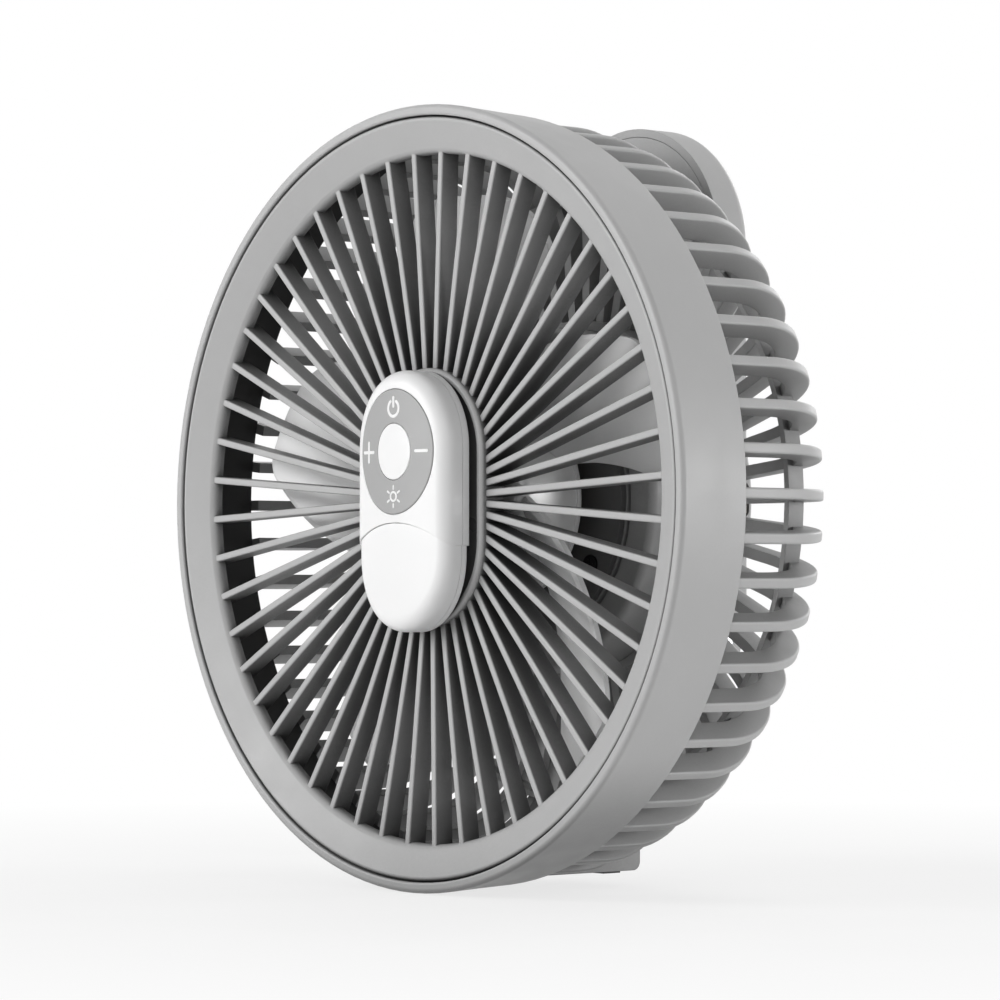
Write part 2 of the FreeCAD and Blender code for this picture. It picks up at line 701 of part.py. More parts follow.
def stator_coils():
    """One copper winding on each tooth."""
    rear = STATOR_FRONT_Y + STATOR_HEIGHT
    inner = STATOR_CORE_RADIUS + COIL_GAP
    outer = STATOR_REACH - TOOTH_TIP - COIL_GAP
    half = COIL_WIDTH / 2
    wound = box(
        (inner, STATOR_FRONT_Y - COIL_OVERHANG, -half),
        (outer, rear + COIL_OVERHANG, half),
    )
    tooth = box(
        (inner - 1, STATOR_FRONT_Y - COIL_GAP / 2, -TOOTH_HALF_WIDTH - COIL_GAP / 2),
        (outer + 1, rear + COIL_GAP / 2, TOOTH_HALF_WIDTH + COIL_GAP / 2),
    )
    coils = around(wound.cut(tooth), STATOR_SLOTS)
    return Part.makeCompound(coils)


def motor_bell():
    """Steel cup pressed into the hub."""
    rear = HUB_REAR_Y - BELL_WALL
    cup = disc(BELL_RADIUS, BELL_FRONT_Y + SEAT_CLEARANCE, rear)
    cavity = disc(MAGNET_OUTER, BELL_FRONT_Y + SEAT_CLEARANCE + BELL_WALL, rear + 1)
    bore = disc(SHAFT_RADIUS + SHAFT_CLEARANCE, BELL_FRONT_Y - 1, rear)
    return cup.cut(cavity).cut(bore)


def magnet_ring():
    middle = STATOR_FRONT_Y + STATOR_HEIGHT / 2
    front = middle - MAGNET_LENGTH / 2
    return ring(MAGNET_OUTER - SHAFT_CLEARANCE, MAGNET_INNER, front, front + MAGNET_LENGTH)


def motor_shaft():
    return disc(SHAFT_RADIUS, HUB_FRONT_Y + HUB_FACE / 2, TUBE_REAR_Y)


def hub():
    """Cup-shaped hub with a rounded front."""
    body = disc(HUB_RADIUS, HUB_FRONT_Y, HUB_REAR_Y)
    body = round_at_y(body, HUB_FRONT_Y, HUB_ROUND)
    body = body.fuse(disc(HUB_RADIUS + HUB_LIP, HUB_REAR_Y - HUB_LIP_WIDTH, HUB_REAR_Y))
    cavity = disc(HUB_RADIUS - HUB_WALL, BELL_FRONT_Y, HUB_REAR_Y + 1)
    socket = disc(SHAFT_RADIUS + SHAFT_CLEARANCE, HUB_FRONT_Y + HUB_FACE / 2, HUB_REAR_Y)
    return body.cut(cavity).cut(socket)


def edge_offset(root, middle, tip, x):
    """Across-offset of a blade edge at distance x, on the parabola through three points."""
    total = 0.0
    points = [root, middle, tip]
    for point in points:
        term = point[1]
        for other in points:
            if other is not point:
                term *= (x - other[0]) / (point[0] - other[0])
        total += term
    return total


def blade_section(x, thickness):
    """Cambered slice of the blade in the plane at distance x out."""
    lead = edge_offset(LEAD_ROOT, LEAD_MIDDLE, LEAD_TIP, x)
    trail = edge_offset(TRAIL_ROOT, TRAIL_MIDDLE, TRAIL_TIP, x)
    slope = (BLADE_FRONT_Y - BLADE_REAR_Y) / (trail - lead)
    first = vec(x, BLADE_REAR_Y - slope * BLADE_OVERSIZE, lead - BLADE_OVERSIZE)
    last = vec(x, BLADE_FRONT_Y + slope * BLADE_OVERSIZE, trail + BLADE_OVERSIZE)
    across = (last - first).normalize()
    normal = AXIS_X.cross(across)
    middle = (first + last) * 0.5 + normal * BLADE_CAMBER
    half = normal * (thickness / 2)
    return Part.Wire([
        Part.Arc(first - half, middle - half, last - half).toShape(),
        Part.makeLine(last - half, last + half),
        Part.Arc(last + half, middle + half, first + half).toShape(),
        Part.makeLine(first + half, first - half),
    ])


def blade_outline():
    """Prism with the blade's rounded outline, seen from the front."""
    tip_angle = (math.atan2(LEAD_TIP[1], LEAD_TIP[0]) + math.atan2(TRAIL_TIP[1], TRAIL_TIP[0])) / 2
    scale_lead = BLADE_TIP_RADIUS / math.hypot(*LEAD_TIP)
    scale_trail = BLADE_TIP_RADIUS / math.hypot(*TRAIL_TIP)
    lead_tip = vec(LEAD_TIP[0] * scale_lead, 0, LEAD_TIP[1] * scale_lead)
    trail_tip = vec(TRAIL_TIP[0] * scale_trail, 0, TRAIL_TIP[1] * scale_trail)
    tip = vec(BLADE_TIP_RADIUS * math.cos(tip_angle), 0, BLADE_TIP_RADIUS * math.sin(tip_angle))
    lead_root = vec(LEAD_ROOT[0], 0, LEAD_ROOT[1])
    trail_root = vec(TRAIL_ROOT[0], 0, TRAIL_ROOT[1])
    wire = Part.Wire([
        Part.Arc(lead_root, vec(LEAD_MIDDLE[0], 0, LEAD_MIDDLE[1]), lead_tip).toShape(),
        Part.Arc(lead_tip, tip, trail_tip).toShape(),
        Part.Arc(trail_tip, vec(TRAIL_MIDDLE[0], 0, TRAIL_MIDDLE[1]), trail_root).toShape(),
        Part.makeLine(trail_root, lead_root),
    ])
    prism = Part.Face(wire).extrude(vec(0, HUB_REAR_Y * 2, 0))
    for corner, radius in ((lead_tip, BLADE_LEAD_ROUND), (trail_tip, BLADE_TRAIL_ROUND)):
        for edge in prism.Edges:
            middle = edge.CenterOfMass
            near = math.hypot(middle.x - corner.x, middle.z - corner.z) < 1
            if near and edge.BoundBox.YLength > HUB_REAR_Y:
                prism = prism.makeFillet(radius, [edge])
                break
    return prism


def blade():
    """One fan blade on its own axis, trimmed to its outline and to the hub wall."""
    wires = []
    for k in range(BLADE_SECTIONS):
        share = k / (BLADE_SECTIONS - 1)
        x = BLADE_ROOT_X + share * (BLADE_END_X - BLADE_ROOT_X)
        thickness = BLADE_ROOT_THICKNESS + share * (BLADE_TIP_THICKNESS - BLADE_ROOT_THICKNESS)
        wires.append(blade_section(x, thickness))
    sheet = Part.makeLoft(wires, True, False)
    inside = disc(HUB_RADIUS - HUB_WALL / 2, 0, HUB_REAR_Y * 2)
    return sheet.common(blade_outline()).cut(inside)


def fan_rotor():
    """Hub and blades as one translucent moulding."""
    blades = around(blade(), BLADE_COUNT, BLADE_AXIS_DEG)
    rotor = hub().fuse(blades)
    front = HUB_FRONT_Y
    return rotor.common(disc(BLADE_TIP_RADIUS, front, HUB_REAR_Y + BLADE_CAMBER))


# Pod


def cover_screw_points():
    return circle_points(COVER_SCREW_CIRCLE, COVER_SCREW_COUNT, COVER_SCREW_START_DEG)


def pod_housing():
    """Cup for the cells, fixed in the rear grille's seat ring."""
    inner = POD_RADIUS - POD_WALL
    body = disc(POD_RADIUS, POD_FRONT_Y, FLANGE_REAR_Y)
    body = round_at_y(body, POD_FRONT_Y, POD_ROUND)
    body = body.fuse(disc(POD_FLANGE_RADIUS, FLANGE_FRONT_Y, FLANGE_REAR_Y))
    surround = MOUNT_RADIUS + SEAT_CLEARANCE
    shoulder = surround + MOUNT_RING_WALL
    body = body.fuse(ring(shoulder, surround, POD_FRONT_Y - MOUNT_RING_HEIGHT, POD_FRONT_Y))
    body = body.cut(ring(shoulder + MOUNT_GROOVE, shoulder, POD_FRONT_Y, POD_FRONT_Y + MOUNT_GROOVE))
    body = body.cut(disc(inner, POD_FRONT_Y + POD_WALL, FLANGE_REAR_Y + 1))
    body = body.cut(disc(TUBE_RADIUS + SEAT_CLEARANCE, POD_FRONT_Y - 1, POD_FRONT_Y + POD_WALL + 1))
    for x, z in cover_screw_points():
        post_front = FLANGE_REAR_Y - SCREW_LENGTH
        post = disc(SCREW_POST_RADIUS, post_front, FLANGE_REAR_Y, x, z)
        body = body.fuse(post.common(disc(POD_RADIUS, 0, FLANGE_REAR_Y)))
        body = body.cut(disc(SCREW_RADIUS, post_front + 1, FLANGE_REAR_Y + 1, x, z))
    for x, z in mount_screw_points():
        body = body.cut(disc(SCREW_RADIUS, POD_FRONT_Y - 1, POD_FRONT_Y + POD_WALL + 1, x, z))
    return body


def ear(side):
    """One hinge ear on the pod cover; side is -1 or +1."""
    inner = STAND_TONGUE_HALF_WIDTH + WASHER_THICKNESS + 2 * WASHER_GAP
    low_x = inner if side > 0 else -inner - EAR_WIDTH
    barrel = Part.makeCylinder(HINGE_BARREL_RADIUS, EAR_WIDTH, vec(low_x, HINGE_Y, HINGE_Z), AXIS_X)
    root = box(
        (low_x, COVER_INNER_Y, HINGE_Z - HINGE_BARREL_RADIUS),
        (low_x + EAR_WIDTH, HINGE_Y, HINGE_Z + HINGE_BARREL_RADIUS),
    )
    within = disc(POD_FLANGE_RADIUS - COVER_ROUND, COVER_INNER_Y, STAND_REAR_Y)
    return barrel.fuse(root).common(within.fuse(barrel))


def pod_cover():
    """Rear cap with the hinge ears, the charging port and the power key."""
    inner = POD_FLANGE_RADIUS - POD_WALL
    body = disc(POD_FLANGE_RADIUS, COVER_FRONT_Y, COVER_REAR_Y)
    body = round_at_y(body, COVER_REAR_Y, COVER_ROUND)
    body = body.cut(disc(inner, COVER_FRONT_Y - 1, COVER_INNER_Y))
    for x, z in cover_screw_points():
        body = body.fuse(disc(SCREW_POST_RADIUS + POD_WALL / 2, COVER_FRONT_Y, COVER_INNER_Y, x, z))
    body = body.fuse([ear(-1), ear(1)])
    head_seat = COVER_REAR_Y - SCREW_RECESS - SCREW_HEAD
    for x, z in cover_screw_points():
        body = body.cut(disc(SCREW_RADIUS + SCREW_CLEARANCE, COVER_FRONT_Y - 1, COVER_REAR_Y, x, z))
        body = body.cut(disc(SCREW_HEAD_RADIUS + SEAT_CLEARANCE, head_seat, COVER_REAR_Y + 1, x, z))
    pin_hole = hinge_rod(PIN_RADIUS + PIN_CLEARANCE, POD_FLANGE_RADIUS)
    body = body.cut(pin_hole)
    body = body.cut(port_shell(PORT_CLEARANCE, POD_FLANGE_RADIUS + 1))
    key_hole = POWER_BUTTON_RADIUS + BUTTON_CLEARANCE
    body = body.cut(disc(key_hole, COVER_FRONT_Y, COVER_REAR_Y + 1, POWER_BUTTON_X))
    lens = pill(
        LENS_HALF_WIDTH + SEAT_CLEARANCE,
        LENS_HALF_HEIGHT + SEAT_CLEARANCE,
        COVER_INNER_Y - 1,
        COVER_REAR_Y + 1,
        x=LENS_X,
    )
    return body.cut(lens)


def hinge_rod(radius, half_length):
    return Part.makeCylinder(radius, 2 * half_length, vec(-half_length, HINGE_Y, HINGE_Z), AXIS_X)


def port_shell(clearance, reach):
    """Outer form of the charging port, along +X."""
    half_z = PORT_WIDTH / 2 + clearance
    half_y = PORT_HEIGHT / 2 + clearance
    start = PORT_REACH - PORT_DEPTH
    straight = half_z - half_y
    body = box((start, PORT_Y - half_y, -straight), (reach, PORT_Y + half_y, straight))
    for z in (-straight, straight):
        body = body.fuse(Part.makeCylinder(half_y, reach - start, vec(start, PORT_Y, z), AXIS_X))
    return body


def usb_port():
    """Charging socket with its tongue."""
    outer = port_shell(0, PORT_REACH)
    hollow = port_shell(-PORT_WALL, PORT_REACH + 1)
    keep = box((PORT_REACH - PORT_DEPTH + 1, 0, -PORT_WIDTH), (PORT_REACH + 2, 2 * PORT_Y, PORT_WIDTH))
    tongue = box(
        (PORT_REACH - PORT_DEPTH + PORT_WALL, PORT_Y - PORT_WALL, -PORT_TONGUE_HALF_WIDTH),
        (PORT_REACH - 1, PORT_Y + PORT_WALL, PORT_TONGUE_HALF_WIDTH),
    )
    return outer.cut(hollow.common(keep)).fuse(tongue)


def charge_board():
    """Small board that carries the charging port."""
    rear = PORT_Y - PORT_HEIGHT / 2
    reach = POD_FLANGE_RADIUS - POD_WALL - 1
    board = box(
        (reach - CHARGE_BOARD_LENGTH, rear - CHARGE_BOARD_THICKNESS, -CHARGE_BOARD_WIDTH / 2),
        (reach, rear, CHARGE_BOARD_WIDTH / 2),
    )
    return board.common(disc(POD_FLANGE_RADIUS - POD_WALL - SEAT_CLEARANCE, 0, COVER_REAR_Y))


def power_button():
    """Round key on the pod's rear, pressed towards the front."""
    rear = COVER_REAR_Y + POWER_BUTTON_PROUD
    key = disc(POWER_BUTTON_RADIUS, COVER_INNER_Y - POWER_BUTTON_FLANGE, rear, POWER_BUTTON_X)
    key = round_at_y(key, rear, POWER_BUTTON_ROUND)
    flange_rear = COVER_INNER_Y - SEAT_CLEARANCE
    flange = disc(
        POWER_BUTTON_RADIUS + POWER_BUTTON_REACH,
        flange_rear - POWER_BUTTON_FLANGE,
        flange_rear,
        POWER_BUTTON_X,
    )
    return key.fuse(flange)


def status_lens():
    """Clear bar over the charge lights."""
    return pill(LENS_HALF_WIDTH, LENS_HALF_HEIGHT, COVER_REAR_Y - LENS_DEPTH, COVER_REAR_Y, x=LENS_X)


def main_board():
    board = disc(MAIN_BOARD_HALF, MAIN_BOARD_Y, MAIN_BOARD_Y + BOARD_THICKNESS)
    return board


def cell_offsets():
    pitch = 2 * (CELL_RADIUS + CELL_CLEARANCE)
    return [(k - (CELL_COUNT - 1) / 2) * pitch for k in range(CELL_COUNT)]


def cell(x):
    """One round cell, upright, with its raised contact."""
    low = -CELL_LENGTH / 2
    body = Part.makeCylinder(CELL_RADIUS, CELL_LENGTH - 1, vec(x, CELL_Y, low), AXIS_Z)
    contact = Part.makeCylinder(CELL_CAP_RADIUS, 1, vec(x, CELL_Y, low + CELL_LENGTH - 1), AXIS_Z)
    return body.fuse(contact)


def cell_holder():
    """Tray with a saddle for each cell."""
    half_x = CELL_COUNT * (CELL_RADIUS + CELL_CLEARANCE) - HOLDER_EDGE
    half_z = CELL_LENGTH / 2 - HOLDER_EDGE
    tray = box((-half_x, HOLDER_FRONT_Y, -half_z), (half_x, HOLDER_REAR_Y, half_z))
    for x in cell_offsets():
        saddle = Part.makeCylinder(
            CELL_RADIUS + CELL_CLEARANCE / 2, CELL_LENGTH * 2, vec(x, CELL_Y, -CELL_LENGTH), AXIS_Z
        )
        tray = tray.cut(saddle)
    return tray


# Stand


def stand_outline(inset, front, rear):
    """Plate with a round top; inset shrinks it on every side but the bottom."""
    half = STAND_HALF_WIDTH - inset
    top_centre = STAND_TOP_Z - STAND_HALF_WIDTH
    bottom = HINGE_Z + HINGE_BARREL_RADIUS + HINGE_SHOULDER_GAP + inset
    plate = disc(half, front, rear, 0, top_centre)
    return plate.fuse(box((-half, front, bottom), (half, rear, top_centre))).removeSplitter()


def grip_slot(clearance):
    """Oblong opening for a hook or fingers, as wide as two round ends allow."""
    half_height = SLOT_HALF_HEIGHT + clearance
    reach = SLOT_HALF_WIDTH - SLOT_HALF_HEIGHT
    front = STAND_FRONT_Y - 1
    rear = STAND_REAR_Y + 1
    body = box((-reach, front, SLOT_Z - half_height), (reach, rear, SLOT_Z + half_height))
    for x in (-reach, reach):
        body = body.fuse(disc(half_height, front, rear, x, SLOT_Z))
    return body.removeSplitter()


def stand_arm():
    """Shell of the stand, open towards the fan, with the hinge barrel."""
    body = stand_outline(0, STAND_FRONT_Y, STAND_REAR_Y)
    rear_edges = []
    bottom = HINGE_Z + HINGE_BARREL_RADIUS + HINGE_SHOULDER_GAP
    for edge in edges_at_y(body, STAND_REAR_Y):
        if edge.CenterOfMass.z > bottom + STAND_WALL:
            rear_edges.append(edge)
    body = body.makeFillet(STAND_ROUND, rear_edges)
    cavity = stand_outline(STAND_WALL, STAND_FRONT_Y - 1, STAND_REAR_Y - STAND_WALL)
    cavity = cavity.cut(grip_slot(STAND_WALL))
    body = body.cut(cavity).cut(grip_slot(0))
    half = STAND_TONGUE_HALF_WIDTH
    tongue = box((-half, STAND_FRONT_Y, HINGE_Z), (half, STAND_REAR_Y, bottom + STAND_WALL))
    barrel = Part.makeCylinder(HINGE_BARREL_RADIUS, 2 * half, vec(-half, HINGE_Y, HINGE_Z), AXIS_X)
    body = body.fuse([tongue, barrel])
    return body.cut(hinge_rod(PIN_RADIUS + PIN_CLEARANCE, POD_FLANGE_RADIUS))


def stand_liner():
    """Plate that closes the stand on the side facing the fan."""
    inset = STAND_WALL + STAND_GAP
    plate = stand_outline(inset, STAND_FRONT_Y, STAND_FRONT_Y + STAND_WALL)
    return plate.cut(grip_slot(STAND_WALL + STAND_GAP))


def hinge_pin():
    reach = STAND_TONGUE_HALF_WIDTH + WASHER_THICKNESS + 2 * WASHER_GAP + EAR_WIDTH
    return hinge_rod(PIN_RADIUS, reach)


def hinge_washer(side):
    start = STAND_TONGUE_HALF_WIDTH + WASHER_GAP
    low_x = start if side > 0 else -start - WASHER_THICKNESS
    start_point = vec(low_x, HINGE_Y, HINGE_Z)
    body = Part.makeCylinder(HINGE_BARREL_RADIUS, WASHER_THICKNESS, start_point, AXIS_X)
    return body.cut(hinge_rod(PIN_RADIUS + PIN_CLEARANCE, POD_FLANGE_RADIUS))


# Remote


def crown(inset):
    """Space behind the remote's front face, which is curved across its width."""
    far = REMOTE_HALF_HEIGHT * 2
    middle = vec(0, REMOTE_FRONT_Y + REMOTE_CROWN_RADIUS, -far)
    return Part.makeCylinder(REMOTE_CROWN_RADIUS - inset, 2 * far, middle, AXIS_Z)


def remote_form(inset):
    """Outer form of the remote, shrunk by inset on every side."""
    body = pill(
        REMOTE_HALF_WIDTH - inset,
        REMOTE_HALF_HEIGHT - inset,
        REMOTE_FRONT_Y - 1,
        REMOTE_BACK_Y - inset,
        z=-REMOTE_DROP,
        end_height=REMOTE_END_HEIGHT - inset,
    )
    return body.common(crown(inset))


def rounded_remote(inset):
    """Remote form with its front edge rounded, for the outside or the cavity."""
    body = remote_form(inset)
    front = []
    for edge in body.Edges:
        if edge.BoundBox.YMax < REMOTE_PART_Y:
            front.append(edge)
    return body.makeFillet(REMOTE_FRONT_ROUND - inset, front)


def door_region(gap):
    """Everything below the arched split line."""
    far = REMOTE_HALF_HEIGHT * 2
    arch = disc(DOOR_ARCH_RADIUS - gap, -far, far, 0, DOOR_ARCH_TOP_Z - DOOR_ARCH_RADIUS)
    wide = box((-far, -far, -far), (far, far, DOOR_ARCH_TOP_Z - DOOR_ARCH_RADIUS))
    return arch.fuse(wide)


def front_region(gap):
    """Everything in front of the parting plane."""
    far = REMOTE_HALF_HEIGHT * 2
    return box((-far, -far, -far), (far, REMOTE_PART_Y - gap, far))


def remote_shell():
    """Hollow remote with eased back edges and a slightly slimmer lower end."""
    upper = round_at_y(rounded_remote(0), REMOTE_BACK_Y, REMOTE_BACK_ROUND)
    lower = round_at_y(rounded_remote(DOOR_STEP), REMOTE_BACK_Y - DOOR_STEP, REMOTE_BACK_ROUND)
    solid = upper.cut(door_region(0)).fuse(lower.common(door_region(0)))
    return solid.cut(rounded_remote(REMOTE_WALL + DOOR_STEP))


def remote_body(shell):
    """Upper front shell of the remote with the opening for the keys."""
    body = shell.common(front_region(0)).cut(door_region(0))
    opening = oval(
        RING_HALF_WIDTH + BUTTON_CLEARANCE,
        RING_HALF_HEIGHT + BUTTON_CLEARANCE,
        REMOTE_FRONT_Y - 1,
        REMOTE_BACK_Y - REMOTE_WALL - 1,
        z=RING_LIFT,
    )
    return body.cut(opening).cut(emitter_form(SEAT_CLEARANCE))


def battery_door(shell):
    """Lower front shell that slides down off the remote."""
    return shell.common(door_region(REMOTE_SEAM)).common(front_region(0))


def remote_back(shell):
    """Rear shell of the remote, all in one piece."""
    return shell.cut(front_region(-REMOTE_SEAM)).cut(emitter_form(SEAT_CLEARANCE))


def crowned_key(half_width, half_height, proud, rear):
    """Oval key whose front follows the remote's curved face, with an eased edge."""
    body = oval(half_width, half_height, REMOTE_FRONT_Y - 1, rear, z=RING_LIFT)
    body = body.common(crown(-proud))
    front = [edge for edge in body.Edges if edge.BoundBox.YMax < rear - KEY_ROUND]
    return body.makeFillet(KEY_ROUND, front)


def button_ring():
    """Four-way key with a central opening and a flange that keeps it in the shell."""
    body = crowned_key(RING_HALF_WIDTH, RING_HALF_HEIGHT, RING_PROUD, RING_REAR_Y)
    flange = oval(
        RING_HALF_WIDTH + RING_FLANGE_REACH,
        RING_HALF_HEIGHT + RING_FLANGE_REACH,
        RING_REAR_Y - RING_FLANGE,
        RING_REAR_Y,
        z=RING_LIFT,
    )
    hole = oval(
        KEY_HALF_WIDTH + BUTTON_CLEARANCE,
        KEY_HALF_HEIGHT + BUTTON_CLEARANCE,
        REMOTE_FRONT_Y - 1,
        RING_REAR_Y + 1,
        z=RING_LIFT,
    )
    return body.fuse(flange).cut(hole)


def centre_button():
    """Middle key with a flange that keeps it under the ring."""
    flange_front = RING_REAR_Y + RING_TRAVEL + SEAT_CLEARANCE
    flange_rear = flange_front + KEY_FLANGE
    body = crowned_key(KEY_HALF_WIDTH, KEY_HALF_HEIGHT, KEY_PROUD, flange_rear)
    flange = oval(
        KEY_HALF_WIDTH + KEY_FLANGE,
        KEY_HALF_HEIGHT + KEY_FLANGE,
        flange_front,
        flange_rear,
        z=RING_LIFT,
    )
    return body.fuse(flange)


def remote_board():
    """Board under the keys, with a cut-out for the coin cell."""
    body = pill(
        REMOTE_HALF_WIDTH - REMOTE_BOARD_INSET,
        REMOTE_HALF_HEIGHT - REMOTE_BOARD_INSET,
        REMOTE_BOARD_Y,
        REMOTE_BOARD_Y + REMOTE_BOARD_THICKNESS,
        z=-REMOTE_DROP,
    )
    return body.cut(disc(COIN_RADIUS + SEAT_CLEARANCE, 0, REMOTE_BACK_Y, 0, COIN_Z)).cut(
        emitter_form(SEAT_CLEARANCE)
    )


def coin_cell():
    body = disc(COIN_RADIUS, COIN_Y, COIN_Y + COIN_THICKNESS, 0, COIN_Z)
    return round_at_y(body, COIN_Y, COIN_ROUND)


def emitter_form(clearance):
    """Infrared lamp in the remote's top end, along +Z."""
    top = REMOTE_HALF_HEIGHT - REMOTE_DROP
    low = top - EMITTER_LENGTH - clearance
    return Part.makeCylinder(
        EMITTER_RADIUS + clearance, EMITTER_LENGTH + 2 * clearance, vec(0, REMOTE_PART_Y, low), AXIS_Z
    )


def remote_emitter():
    return emitter_form(0).common(remote_form(0))


def steel_disc(z):
    rear = REMOTE_BACK_Y - REMOTE_WALL - DOOR_STEP
    return disc(DISC_RADIUS, rear - DISC_THICKNESS, rear, 0, z - REMOTE_DROP)


# Dock and lamp


def dock_seat():
    """Raised seat that the remote sits on, hollow for the magnets."""
    rear = DOCK_FLANGE_Y + DOCK_FLANGE
    seat = pill(DOCK_HALF_WIDTH, DOCK_HALF_HEIGHT, DOCK_FRONT_Y, rear, z=COLLAR_LIFT)
    flange = pill(INSERT_WIDTH, INSERT_HEIGHT, DOCK_FLANGE_Y, rear, z=COLLAR_LIFT)
    hollow = pill(
        DOCK_HALF_WIDTH - DOCK_WALL,
        DOCK_HALF_HEIGHT - DOCK_WALL,
        DOCK_FRONT_Y + DOCK_WALL,
        rear + 1,
        z=COLLAR_LIFT,
    )
    body = round_at_y(seat, DOCK_FRONT_Y, DOCK_ROUND).fuse(flange).cut(hollow)
    for z in (-DOCK_SCREW_Z, DOCK_SCREW_Z):
        post = disc(SCREW_POST_RADIUS, DOCK_FRONT_Y + DOCK_WALL / 2, rear, 0, z)
        body = body.fuse(post)
        hole_front = DOCK_COVER_Y - DOCK_SCREW_LENGTH + DOCK_COVER / 2
        body = body.cut(disc(SCREW_RADIUS, hole_front, DOCK_COVER_Y, 0, z))
    return body


def lamp_diffuser():
    """Opal ring in the recess round the dock."""
    rear = LAMP_FRONT_Y + LAMP_THICKNESS
    outer = pill(INSERT_WIDTH, INSERT_HEIGHT, LAMP_FRONT_Y, rear, z=COLLAR_LIFT)
    inner = pill(
        DOCK_HALF_WIDTH + SEAT_CLEARANCE,
        DOCK_HALF_HEIGHT + SEAT_CLEARANCE,
        LAMP_FRONT_Y - 1,
        rear + 1,
        z=COLLAR_LIFT,
    )
    return outer.cut(inner)


def lamp_board():
    """Ring-shaped board with its lamp chips."""
    rear = LAMP_BOARD_Y + LAMP_BOARD_THICKNESS
    body = pill(INSERT_WIDTH, INSERT_HEIGHT, LAMP_BOARD_Y, rear, z=COLLAR_LIFT)
    hole_width = DOCK_HALF_WIDTH + SEAT_CLEARANCE
    hole_height = DOCK_HALF_HEIGHT + SEAT_CLEARANCE
    body = body.cut(pill(hole_width, hole_height, LAMP_BOARD_Y - 1, rear + 1, z=COLLAR_LIFT))
    track = (INSERT_WIDTH + hole_width) / 2
    straight = INSERT_HEIGHT - INSERT_WIDTH
    for k in range(LAMP_CHIP_COUNT):
        angle = math.radians((k + 0.5) * TURN_DEG / LAMP_CHIP_COUNT)
        x = track * math.cos(angle)
        z = track * math.sin(angle) + math.copysign(straight, math.sin(angle)) + COLLAR_LIFT
        body = body.fuse(disc(LAMP_CHIP, LAMP_BOARD_Y - LAMP_CHIP, LAMP_BOARD_Y, x, z))
    return body


def dock_magnet(z):
    front = DOCK_FRONT_Y + DOCK_WALL
    return disc(MAGNET_RADIUS, front, front + MAGNET_HEIGHT, 0, z - REMOTE_DROP)


def dock_cover():
    """Plate that closes the collar from behind."""
    rear = DOCK_COVER_Y + DOCK_COVER
    plate = pill(INSERT_WIDTH, INSERT_HEIGHT, DOCK_COVER_Y, rear, z=COLLAR_LIFT)
    for z in (-DOCK_SCREW_Z, DOCK_SCREW_Z):
        plate = plate.cut(disc(SCREW_RADIUS + SCREW_CLEARANCE, DOCK_COVER_Y - 1, rear + 1, 0, z))
        head_seat = DOCK_COVER_Y + DOCK_COVER / 2
        plate = plate.cut(disc(SCREW_HEAD_RADIUS + SEAT_CLEARANCE, head_seat, rear + 1, 0, z))
    return plate


def main():
    os.makedirs("parts", exist_ok=True)
    write("rim_band", rim_band())
    write("front_grille", front_grille())
    write("duct_ring", duct_ring())
    write("rear_grille", rear_grille())
    for name, y in zip(("foot_pad_front", "foot_pad_rear"), pad_places()):
        write(name, pad_box(y, 0))
    write("dock_seat", dock_seat())
    write("dock_cover", dock_cover())
    write("lamp_diffuser", lamp_diffuser())
    write("lamp_board", lamp_board())
    for name, side in (("upper", 1), ("lower", -1)):
        write("dock_magnet_" + name, dock_magnet(side * DISC_Z))
        write("remote_disc_" + name, steel_disc(side * DISC_Z))
        head_seat = DOCK_COVER_Y + DOCK_COVER / 2
        write("dock_screw_" + name, screw(0, side * DOCK_SCREW_Z, head_seat, -1, DOCK_SCREW_LENGTH))
    write("fan_rotor", fan_rotor())
    write("motor_bell", motor_bell())
    write("magnet_ring", magnet_ring())
    write("motor_shaft", motor_shaft())
    write("motor_base", motor_base())
    write("stator_core", stator_core())
    write("stator_coils", stator_coils())
    for name, place in zip(("bearing_front", "bearing_rear"), bearing_places()):
        write(name, bearing(place))
    for k, (x, z) in enumerate(mount_screw_points()):
        seat = MOUNT_FRONT_Y + MOUNT_PLATE / 2
        write("motor_screw_%d" % (k + 1), screw(x, z, seat, 1, MOUNT_SCREW_LENGTH))
    write("pod_housing", pod_housing())
    write("pod_cover", pod_cover())
    for k, (x, z) in enumerate(cover_screw_points()):
        seat = COVER_REAR_Y - SCREW_RECESS - SCREW_HEAD
        write("cover_screw_%d" % (k + 1), screw(x, z, seat, -1, SCREW_LENGTH))
    write("usb_port", usb_port())
    write("charge_board", charge_board())
    write("power_button", power_button())
    write("status_lens", status_lens())
    write("main_board", main_board())
    write("cell_holder", cell_holder())
    for k, x in enumerate(cell_offsets()):
        write("cell_%d" % (k + 1), cell(x))
    write("stand_arm", stand_arm())
    write("stand_liner", stand_liner())
    write("hinge_pin", hinge_pin())
    for name, side in (("hinge_washer_left", -1), ("hinge_washer_right", 1)):
        write(name, hinge_washer(side))
    shell = remote_shell()
    write("remote_body", remote_body(shell))
    write("battery_door", battery_door(shell))
    write("remote_back", remote_back(shell))
    write("button_ring", button_ring())
    write("centre_button", centre_button())
    write("remote_board", remote_board())
    write("coin_cell", coin_cell())
    write("remote_emitter", remote_emitter())


main()
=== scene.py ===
"""Looks for the portable camping fan: materials, key symbols, light, floor and camera.

Lengths are metres in the part's own frame: the front faces -Y, +Z is up and the
floor is at Z = 0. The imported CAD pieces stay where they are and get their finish
here, and the white symbols on the remote's keys are added as inlaid meshes.
"""

import math

import bmesh
import bpy
from mathutils import Matrix, Vector


